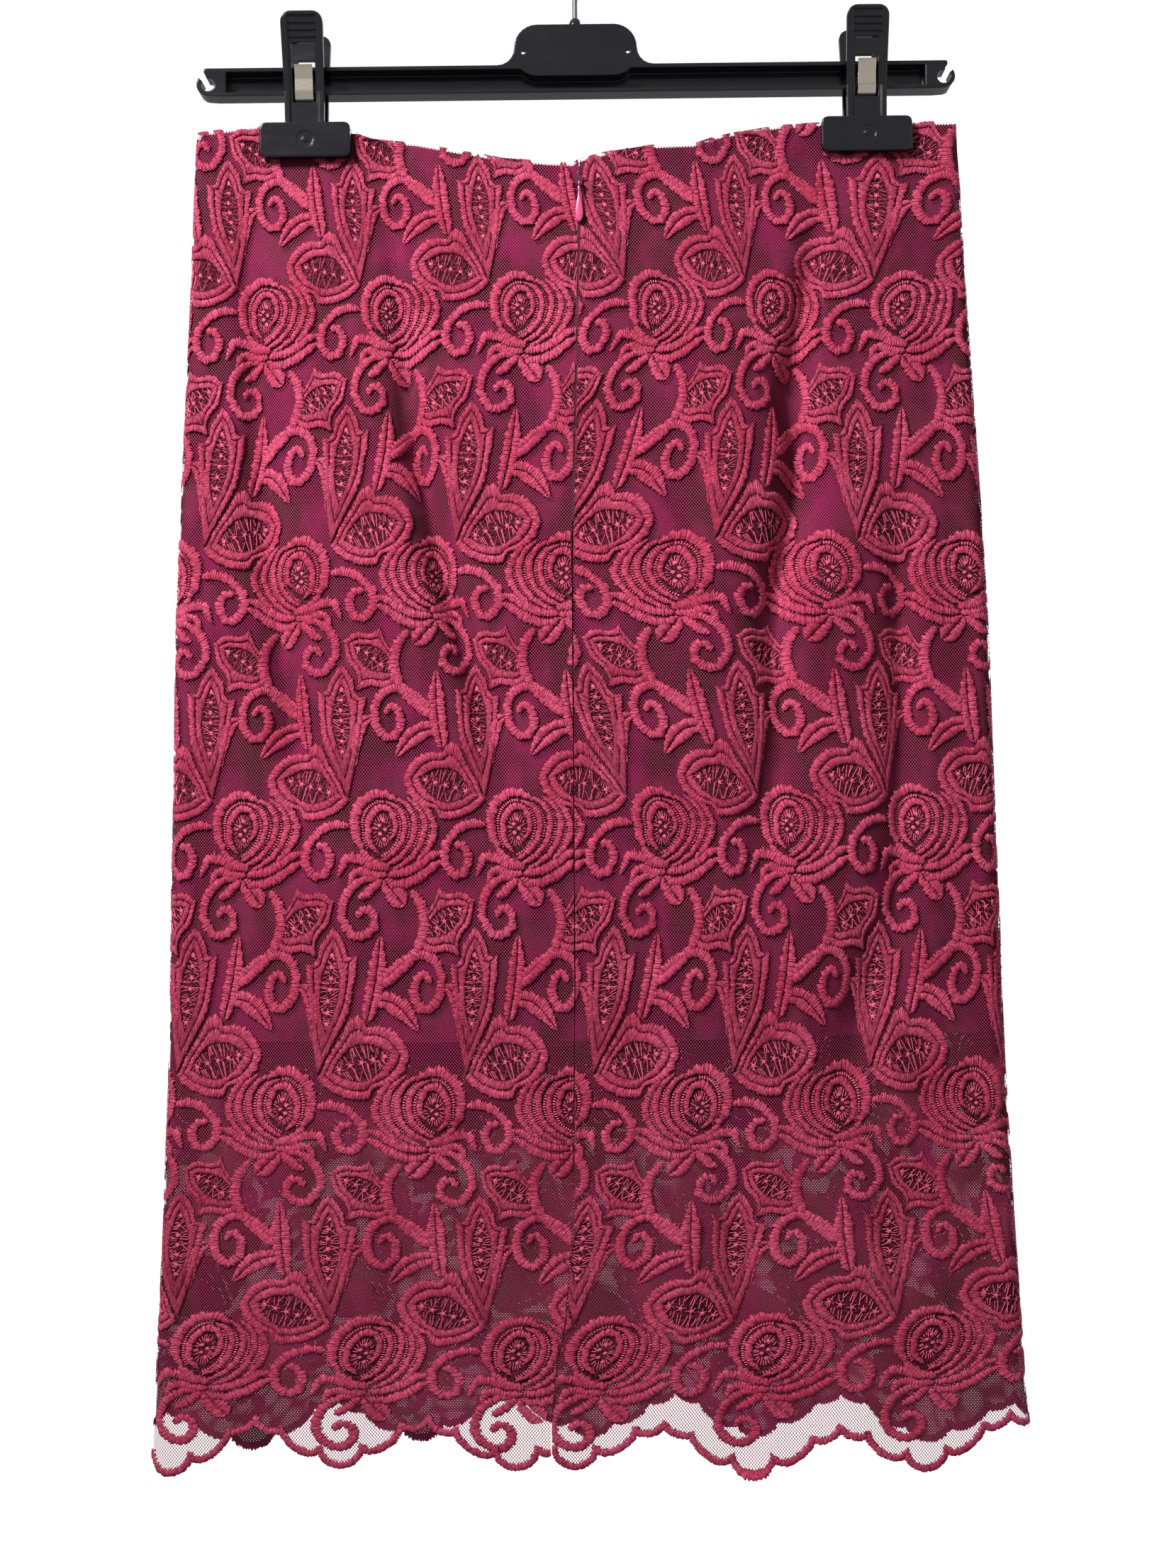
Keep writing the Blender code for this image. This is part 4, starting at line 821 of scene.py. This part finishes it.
def hem_stations(cloth, side, fine):
    """Distances along the hem from the centre to the side seam, close where the lobes turn."""
    first = RIGHT_FIRST_CUSP if side > 0 else LEFT_FIRST_CUSP
    if cloth.front:
        first = FRONT_FIRST_CUSP
    far = cloth.end(side, HEM_SIDE_Z)
    ease = (1 - np.cos(np.linspace(0, math.pi, fine, endpoint=False))) / 2
    stations = [0.0, far]
    for repeat in range(-MOST_REPEATS, MOST_REPEATS):
        for start, end, *_ in SCALLOP_LOBES:
            stations += list(first + repeat * SCALLOP_PERIOD + start + (end - start) * ease)
    stations = np.unique(np.round(stations, 3))
    return stations[(stations >= 0) & (stations <= far)]


def sheet_grid(cloth, side, gap, columns, rows, low):
    """(s, z) of a sheet's points on one side, from the waist to a straight edge at low, or to the
    scallops where low is None."""
    if low is None:
        share = hem_stations(cloth, side, columns)
        share = share / share[-1]
        z_low = cloth.hem(share * cloth.end(side, HEM_SIDE_Z) * side)
    else:
        share = np.linspace(0, 1, columns + 1)
        z_low = np.full(columns + 1, low)
    z_top = cloth.waist(share * cloth.end(side, WAIST_SIDE_Z) * side)
    down = np.linspace(0, 1, rows + 1)[:, None]
    z = z_top * (1 - down) + z_low * down
    far = cloth.end(side, z) - SHEET_GAP
    return (gap + share * (far - gap)) * side, z


def sheet_points(cloth, sides, gap, columns, rows, low, lift):
    """Points, quads and uv of a sheet on one side of the centre, or on both."""
    if len(sides) == 1:
        s, z = sheet_grid(cloth, sides[0], gap, columns, rows, low)
        flip = sides[0] < 0
    else:
        left, right = (sheet_grid(cloth, side, gap, columns, rows, low) for side in sides)
        s = np.hstack([left[0][:, ::-1], right[0][:, 1:]])
        z = np.hstack([left[1][:, ::-1], right[1][:, 1:]])
        flip = False
    quads = grid_quads(*s.shape)
    if flip != cloth.front:
        quads = quads[:, ::-1]
    points = cloth.place(s.ravel(), z.ravel(), np.full(s.size, lift))
    return points, quads, np.stack([s.ravel(), z.ravel()], axis=1)


# ---- materials ----
class Nodes:
    """A short way to build a material's node tree."""

    def __init__(self, name):
        self.material = bpy.data.materials.new(name)
        self.material.use_nodes = True
        self.tree = self.material.node_tree
        self.shader = self.tree.nodes["Principled BSDF"]

    def plug(self, socket, value):
        """Link a socket to another node's output, or set its own value."""
        if isinstance(value, bpy.types.NodeSocket):
            self.tree.links.new(value, socket)
        else:
            socket.default_value = value

    def add(self, kind, inputs=(), **settings):
        node = self.tree.nodes.new(kind)
        for key, value in settings.items():
            setattr(node, key, value)
        for key, value in dict(inputs).items():
            self.plug(node.inputs[key], value)
        return node

    def math(self, operation, a, b=0.0, c=0.0):
        return self.add("ShaderNodeMath", {0: a, 1: b, 2: c}, operation=operation).outputs[0]

    def vector(self, operation, a, b=(0.0, 0.0, 0.0)):
        return self.add("ShaderNodeVectorMath", {0: a, 1: b}, operation=operation)

    def uv(self, scale):
        place = self.add("ShaderNodeUVMap", uv_map="UVMap").outputs[0]
        return self.vector("MULTIPLY", place, (*scale, 1.0)).outputs[0]

    def object_place(self, scale=(1.0, 1.0, 1.0)):
        place = self.add("ShaderNodeTexCoord").outputs["Object"]
        return self.vector("MULTIPLY", place, scale).outputs[0]

    def noise(self, place, scale, detail=2.0, roughness=0.5):
        inputs = {"Vector": place, "Scale": scale, "Detail": detail, "Roughness": roughness}
        return self.add("ShaderNodeTexNoise", inputs).outputs["Fac"]

    def span(self, value, low, high, out_low=0.0, out_high=1.0):
        inputs = {0: value, 1: low, 2: high, 3: out_low, 4: out_high}
        return self.add("ShaderNodeMapRange", inputs).outputs[0]

    def blend(self, factor, a, b):
        """Mix two colours."""
        node = self.add("ShaderNodeMix", data_type="RGBA")
        for place, value in ((0, factor), (6, a), (7, b)):
            self.plug(node.inputs[place], (*value, 1.0) if isinstance(value, tuple) else value)
        return node.outputs[2]

    def bump(self, height, strength, distance):
        inputs = {"Height": height, "Strength": strength, "Distance": distance}
        return self.add("ShaderNodeBump", inputs).outputs[0]

    def rounded(self, radius, samples=4):
        """A normal that rounds sharp edges, with a radius in metres."""
        return self.add("ShaderNodeBevel", {"Radius": radius}, samples=samples).outputs[0]

    def set(self, **values):
        for key, value in values.items():
            self.plug(self.shader.inputs[key.replace("_", " ")], value)
        return self.material


# colours come in pairs that noise blends
STITCH_PITCH = 0.80           # from one thread to the next along a band
THREAD_COLOURS = ((0.62, 0.056, 0.132), (0.79, 0.098, 0.208))
# painted shade: the dark thread colour for the grooves between threads and the notches at band edges
THREAD_PAINTED_SHADE = (0.14, 0.005, 0.018)
# painted light: a brighter copy of the thread colour for loose threads, knots and combs
LOOSE_THREAD_LIT = (0.86, 0.13, 0.23)
# painted shade: colours of the dark sheet in open centres and under each rose, showing between the
# threads
OPEN_CENTRE_SHADE = ((0.020, 0.004, 0.008), (0.15, 0.014, 0.040))
NET_COLOURS = ((0.25, 0.056, 0.082), (0.40, 0.034, 0.120))
# painted shade: near-black where the lining would hang in shadow, plum where it would lie lit against
# the net
LINING_LIT_AND_SHADED = ((0.014, 0.002, 0.005), (0.17, 0.008, 0.052))
HOLE_PITCH = (1.34, 1.64)     # two staggered sets of holes in the net, in millimetres
BACK_HOLE = 0.46              # radius of a hole in the net nearer the eye
FRONT_HOLE = 0.13             # and in the net behind it
HOLE_BLUR = 0.03
SCUFFS = 0.12                 # how much rougher scuffed plastic is


def satin_thread():
    """Burgundy embroidery thread laid side by side across each band, uneven where it ends, with
    painted shade in the grooves between threads and in the notches where a band's stitches end.
    """
    n = Nodes("satin_thread")
    place = n.add("ShaderNodeSeparateXYZ", {0: n.uv((1.0, 1.0))})
    along, across = place.outputs[0], place.outputs[1]
    ground = n.math("GREATER_THAN", across, OPEN_MARK / 2)
    loose = n.math("LESS_THAN", across, -OPEN_MARK / 2)
    edge = n.math("ABSOLUTE", across)
    wander = n.noise(n.uv((0.30, 0.30)), 1.0, 2.0, 0.5)
    phase = n.math("MULTIPLY_ADD", wander, 3.2, along)
    wave = n.math("SINE", n.math("MULTIPLY", phase, math.tau / STITCH_PITCH))
    thread = n.span(wave, -1.0, 0.6)
    teeth = n.noise(n.uv((1.35, 0.9)), 1.0, 1.0, 0.6)
    reach = n.span(teeth, 0.36, 0.62, 0.66, 1.10)
    past = n.math("SUBTRACT", edge, reach)
    notch = n.span(past, -0.20, 0.0)
    cut = n.span(past, -0.02, 0.03, 1.0, 0.0)
    solid = n.math("MAXIMUM", cut, n.math("MAXIMUM", ground, loose))
    uneven = n.noise(n.uv((1.10, 0.30)), 1.0, 1.0, 0.5)
    grooves = n.span(uneven, 0.38, 0.54)
    fibres = n.noise(n.uv((6.0, 1.2)), 1.0, 2.0, 0.6)
    height = n.math("MULTIPLY_ADD", grooves, 0.60, n.math("MULTIPLY", thread, 0.40))
    height = n.math("MULTIPLY_ADD", fibres, 0.20, height)
    height = n.math("MULTIPLY_ADD", notch, -0.9, height)
    patches = n.noise(n.object_place(), 38.0, 2.0)
    grain = n.noise(n.object_place(), 620.0, 2.0, 0.6)
    lit = n.blend(n.span(patches, 0.35, 0.65), *THREAD_COLOURS)
    # painted shade: the thread colour darkens in the grooves between threads and in the notches where
    # a band's stitches end; the grain adds random darker marks
    shade = n.math("MULTIPLY_ADD", grooves, 0.40, n.math("MULTIPLY_ADD", thread, 0.20, 0.10))
    shade = n.math("MULTIPLY_ADD", n.span(grain, 0.38, 0.58), 0.38, shade)
    shade = n.math("MULTIPLY", shade, n.math("MULTIPLY_ADD", notch, -0.8, 1.0))
    colour = n.blend(shade, THREAD_PAINTED_SHADE, lit)
    # painted light: loose threads, knots and combs take a brighter copy of the thread colour, without
    # the painted shade
    colour = n.blend(loose, colour, LOOSE_THREAD_LIT)
    weave = n.noise(n.object_place(), 950.0, 1.0)
    # painted shade on the dark sheet of the open centres, with a fine weave
    dark = n.blend(n.span(weave, 0.42, 0.62), *OPEN_CENTRE_SHADE)
    rough = n.math("MULTIPLY_ADD", ground, 0.35, 0.60)
    return n.set(Base_Color=n.blend(ground, colour, dark), Roughness=rough, Alpha=solid,
                 Sheen_Weight=0.06, Sheen_Roughness=0.4, Sheen_Tint=(1.0, 0.42, 0.55, 1.0),
                 Specular_IOR_Level=0.12, Normal=n.bump(height, 0.9, 0.0006))


def net_fabric(name, hole_radius):
    """Tulle with round holes in staggered rows."""
    n = Nodes(name)
    cell = n.uv((1 / HOLE_PITCH[0], 1 / HOLE_PITCH[1]))
    reach = []
    for shift in (0.0, 0.5):
        moved = n.vector("ADD", cell, (shift, shift, 0.0)).outputs[0]
        inside = n.vector("FRACTION", moved).outputs[0]
        centred = n.vector("SUBTRACT", inside, (0.5, 0.5, 0.0)).outputs[0]
        sized = n.vector("MULTIPLY", centred, (*HOLE_PITCH, 0.0)).outputs[0]
        reach.append(n.vector("LENGTH", sized).outputs["Value"])
    nearest = n.math("MINIMUM", *reach)
    solid = n.span(nearest, hole_radius - HOLE_BLUR, hole_radius + HOLE_BLUR)
    uneven = n.noise(n.object_place(), 60.0, 2.0)
    colour = n.blend(n.span(uneven, 0.3, 0.7), *NET_COLOURS)
    return n.set(Base_Color=colour, Roughness=0.8, Specular_IOR_Level=0.02,
                 Alpha=solid, Normal=n.bump(nearest, 0.4, 0.0004))


def lining_jersey():
    """Fine plum knit with a soft sheen, and painted shade: noise patches darken it nearly to black,
    for where it hangs in shadow away from the net.
    """
    n = Nodes("lining_jersey")
    ribs = n.noise(n.uv((3.2, 1.0)), 1.0, 2.0, 0.6)
    # painted shade: noise patches that darken the lining nearly to black
    shade_patches = n.noise(n.object_place((1.0, 1.0, 0.6)), 52.0, 2.0)
    colour = n.blend(n.span(shade_patches, 0.44, 0.60), *LINING_LIT_AND_SHADED)
    return n.set(Base_Color=colour, Roughness=0.7, Sheen_Weight=0.04, Sheen_Roughness=0.4,
                 Sheen_Tint=(0.95, 0.35, 0.65, 1.0), Specular_IOR_Level=0.03,
                 Normal=n.bump(ribs, 0.25, 0.0004))


def moulded(name, colour, roughness):
    """Black moulded plastic with faint scuffs and rounded edges."""
    n = Nodes(name)
    smear = n.noise(n.object_place((30.0, 30.0, 140.0)), 1.0, 4.0, 0.6)
    grain = n.noise(n.object_place(), 900.0, 2.0)
    rough = n.span(smear, 0.35, 0.7, roughness, roughness + SCUFFS)
    tone = n.blend(smear, colour, tuple(c * 1.5 + 0.002 for c in colour))
    bump = n.add("ShaderNodeBump", {"Height": grain, "Strength": 0.04, "Distance": 0.0002,
                                    "Normal": n.rounded(0.0009, 6)}).outputs[0]
    return n.set(Base_Color=tone, Roughness=rough, Specular_IOR_Level=0.32, Normal=bump)


def metal(name, colour, roughness):
    """Faintly streaked metal."""
    n = Nodes(name)
    streak = n.noise(n.object_place((300.0, 300.0, 2500.0)), 1.0, 3.0)
    rough = n.span(streak, 0.3, 0.7, roughness, roughness + 0.04)
    tone = n.blend(streak, tuple(c * 0.94 for c in colour), colour)
    return n.set(Base_Color=tone, Metallic=1.0, Roughness=rough, Normal=n.rounded(0.0003))


def enamel(name, colour):
    """Glossy paint."""
    n = Nodes(name)
    spots = n.noise(n.object_place(), 700.0, 2.0)
    tone = n.blend(spots, colour, tuple(c * 1.25 for c in colour))
    return n.set(Base_Color=tone, Roughness=0.22, Coat_Weight=0.4, Normal=n.rounded(0.0003))


def floor_finish():
    """A floor that shows plain white."""
    n = Nodes("floor_paint")
    speck = n.noise(n.object_place(), 40.0, 2.0)
    return n.set(Base_Color=n.blend(speck, (0.04, 0.04, 0.04), (0.05, 0.05, 0.05)), Roughness=0.9,
                 Specular_IOR_Level=0.0, Emission_Color=(1.0, 1.0, 1.0, 1.0),
                 Emission_Strength=1.0)


# ---- building ----
# the sewn pieces: the cloth, the sides of its centre that they cover, and the gap left there
PIECES = {
    "back_left": ("back", (-1,), SHEET_GAP),
    "back_right": ("back", (1,), SHEET_GAP),
    "front": ("front", (-1, 1), 0.0),
}


def build_embroidery(cloths, finish):
    """The embroidery and edge cord of each back panel and of each half of the front."""
    whole = chart_motif(("rose", "curls", "above", "below"))
    last = chart_motif(("rose", "curls", "above"))
    panels = {}
    for name, where, side, gap in (("back_left", "back", -1, STITCH_GAP),
                                   ("back_right", "back", 1, STITCH_GAP),
                                   ("front_left", "front", -1, 0.0),
                                   ("front_right", "front", 1, 0.0)):
        panel = Panel(cloths[where], side, gap)
        lay_embroidery(panel, [whole] * LAST_ROW + [last])
        lay_edge_cord(panel)
        panels[name] = panel.make("embroidery_" + name, finish)
    return panels


def build_sheets(prefix, cloths, finishes, columns, rows, low, inset):
    """A sheet for each sewn piece. Finishes and columns are given for the back and the front."""
    sheets = {}
    for piece, (where, sides, gap) in PIECES.items():
        points, quads, uv = sheet_points(cloths[where], sides, gap, columns[where], rows, low,
                                         -inset)
        sheets[piece] = add_mesh(prefix + piece, points, quads, finishes[where], uv)
    return sheets


PULL_PIN = (0.987, -10.811, -143.0)
PULL_RING = (0.93, 0.25)      # radius of the ring's line, and of its section
PULL_PROFILE = (
    #  below the pin, half width, half thickness
    (0.95, 0.62, 0.30), (1.6, 0.66, 0.42), (3.2, 0.52, 0.42), (4.8, 0.50, 0.42),
    (5.8, 0.72, 0.52), (7.2, 1.12, 0.64), (9.2, 1.50, 0.76), (11.4, 1.78, 0.84),
    (13.6, 1.90, 0.86), (15.2, 1.72, 0.80), (16.5, 1.22, 0.62), (17.3, 0.62, 0.38),
    (17.6, 0.12, 0.10),
)
PULL_SIDES = 20


def build_pull(finish):
    """Teardrop pull on a small ring, hanging from the slider's pin."""
    turn = np.linspace(0, math.tau, PULL_SIDES, endpoint=False)
    below, half_width, half_thick = np.array(PULL_PROFILE).T
    body = np.stack([half_width[:, None] * np.cos(turn), half_thick[:, None] * np.sin(turn),
                     np.broadcast_to(-below[:, None], (len(below), PULL_SIDES))], axis=2)
    radius, section = PULL_RING
    around = np.linspace(0, math.tau, 2 * PULL_SIDES, endpoint=False)
    out = radius + section * np.cos(turn)
    ring = np.stack([np.broadcast_to(2 * section * np.sin(turn), (len(around), PULL_SIDES)),
                     np.sin(around)[:, None] * out, np.cos(around)[:, None] * out], axis=2)
    points = np.vstack([body, ring]).reshape(-1, 3) + PULL_PIN
    index = np.arange(len(points)).reshape(-1, PULL_SIDES)
    index = np.hstack([index, index[:, :1]])
    drop, hoop = index[:len(body)], index[len(body):]
    faces = np.vstack([quads_between(drop), quads_between(np.vstack([hoop, hoop[:1]]))])
    return add_mesh("zip_pull_drop", points, faces, finish)


# ---- studio ----
CAMERA_PLACE = (0.002, -0.720, -0.420)
CAMERA_LENS = 35.3
CAMERA_ROLL = -0.65           # degrees, as the photo leans
ROOM_LIGHT = 0.15
ROOM_SHINE = 0.40             # how much brighter the room is in reflections
FLOOR_Z = -1000
FLOOR_REACH = 6000
LIGHTS = (
    # name, watts, width, place, aimed at, spread in degrees
    ("key", 5.9, 0.40, (-0.95, -0.95, 0.75), (-0.05, 0.0, -0.27), 60),
    ("fill", 3.0, 1.2, (1.1, -1.2, -0.1), (0.0, 0.0, -0.4), 180),
    ("behind", 24.0, 0.7, (0.85, 1.05, 0.55), (0.0, 0.0, -0.38), 180),
)


def add_light(name, watts, width, place, target, spread):
    data = bpy.data.lights.new(name, "AREA")
    data.energy = watts
    data.size = width
    data.spread = math.radians(spread)
    made = bpy.data.objects.new(name, data)
    made.location = place
    aim = mathutils.Vector(target) - mathutils.Vector(place)
    made.rotation_euler = aim.to_track_quat("-Z", "Y").to_euler()
    bpy.context.scene.collection.objects.link(made)


def build_world():
    """An even white room, dim on surfaces, brighter in reflections and white to the camera."""
    world = bpy.data.worlds.new("studio")
    world.use_nodes = True
    tree = world.node_tree
    background = tree.nodes["Background"]
    background.inputs["Color"].default_value = (1.0, 1.0, 1.0, 1.0)
    rays = tree.nodes.new("ShaderNodeLightPath")
    seen, shine = (tree.nodes.new("ShaderNodeMath") for _ in range(2))
    for node, ray, extra in ((seen, "Is Camera Ray", 1.0 - ROOM_LIGHT),
                             (shine, "Is Glossy Ray", ROOM_SHINE)):
        node.operation = "MULTIPLY_ADD"
        tree.links.new(rays.outputs[ray], node.inputs[0])
        node.inputs[1].default_value = extra
    seen.inputs[2].default_value = ROOM_LIGHT
    tree.links.new(seen.outputs[0], shine.inputs[2])
    tree.links.new(shine.outputs[0], background.inputs["Strength"])
    bpy.context.scene.world = world


def build_floor():
    corners = [(x * FLOOR_REACH, y * FLOOR_REACH, FLOOR_Z)
               for x, y in ((-1, -1), (1, -1), (1, 1), (-1, 1))]
    floor = add_mesh("floor", np.array(corners), np.array([(0, 1, 2, 3)]), floor_finish())
    floor.visible_diffuse = False
    floor.visible_glossy = False


def build_camera():
    camera = bpy.data.cameras.new("camera")
    camera.lens = CAMERA_LENS
    camera.sensor_width = 36.0
    camera.clip_start = 0.01
    shot = bpy.data.objects.new("camera", camera)
    shot.location = CAMERA_PLACE
    shot.rotation_euler = (math.radians(90.0), 0.0, 0.0)
    shot.rotation_euler.rotate_axis("Z", math.radians(CAMERA_ROLL))
    bpy.context.scene.collection.objects.link(shot)
    bpy.context.scene.camera = shot
    bpy.context.scene.view_settings.view_transform = "Standard"


def paint_frame(nodes):
    """Give the frame's own nodes their materials."""
    plastic = moulded("hanger_plastic", (0.006, 0.006, 0.009), 0.13)
    nickel = metal("clip_nickel", (0.52, 0.47, 0.39), 0.24)
    paints = {
        "hanger_bar": plastic, "hook": metal("hook_steel", (0.15, 0.15, 0.155), 0.60),
        "zip_chain": enamel("zip_tape", (0.055, 0.006, 0.014)),
        "zip_slider": enamel("zip_slider_enamel", (0.085, 0.010, 0.028)),
    }
    for side in ("left", "right"):
        paints[f"clip_{side}_spring"] = nickel
        for face in ("front", "back"):
            paints[f"clip_{side}_{face}_jaw"] = plastic
    for name, finish in paints.items():
        nodes[name].data.materials.clear()
        nodes[name].data.materials.append(finish)


def main():
    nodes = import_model()["nodes"]
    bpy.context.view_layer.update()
    cloths = {"back": Cloth(False), "front": Cloth(True)}
    thread = satin_thread()
    net = {"back": net_fabric("net_back_fabric", BACK_HOLE),
           "front": net_fabric("net_front_fabric", FRONT_HOLE)}
    jersey = lining_jersey()
    embroidery = build_embroidery(cloths, thread)
    nets = build_sheets("net_", cloths, net, NET_COLUMNS, NET_ROWS, None, NET_INSET)
    linings = build_sheets("jersey_", cloths, {"back": jersey, "front": jersey},
                           {"back": LINING_COLUMNS, "front": LINING_COLUMNS}, LINING_ROWS,
                           LINING_HEM_Z, LINING_INSET)
    for slot, made in (("lace", embroidery), ("lace", nets), ("lining", linings)):
        for cloth in made.values():
            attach(cloth, "skirt")
    for piece, cloth in nets.items():
        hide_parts(piece)
    for piece, cloth in linings.items():
        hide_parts("lining_" + piece)
    drop = build_pull(enamel("zip_enamel", (0.62, 0.07, 0.20)))
    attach(drop, "zip_pull")
    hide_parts("zip_pull")
    paint_frame(nodes)
    build_floor()
    build_world()
    for row in LIGHTS:
        add_light(*row)
    build_camera()


main()
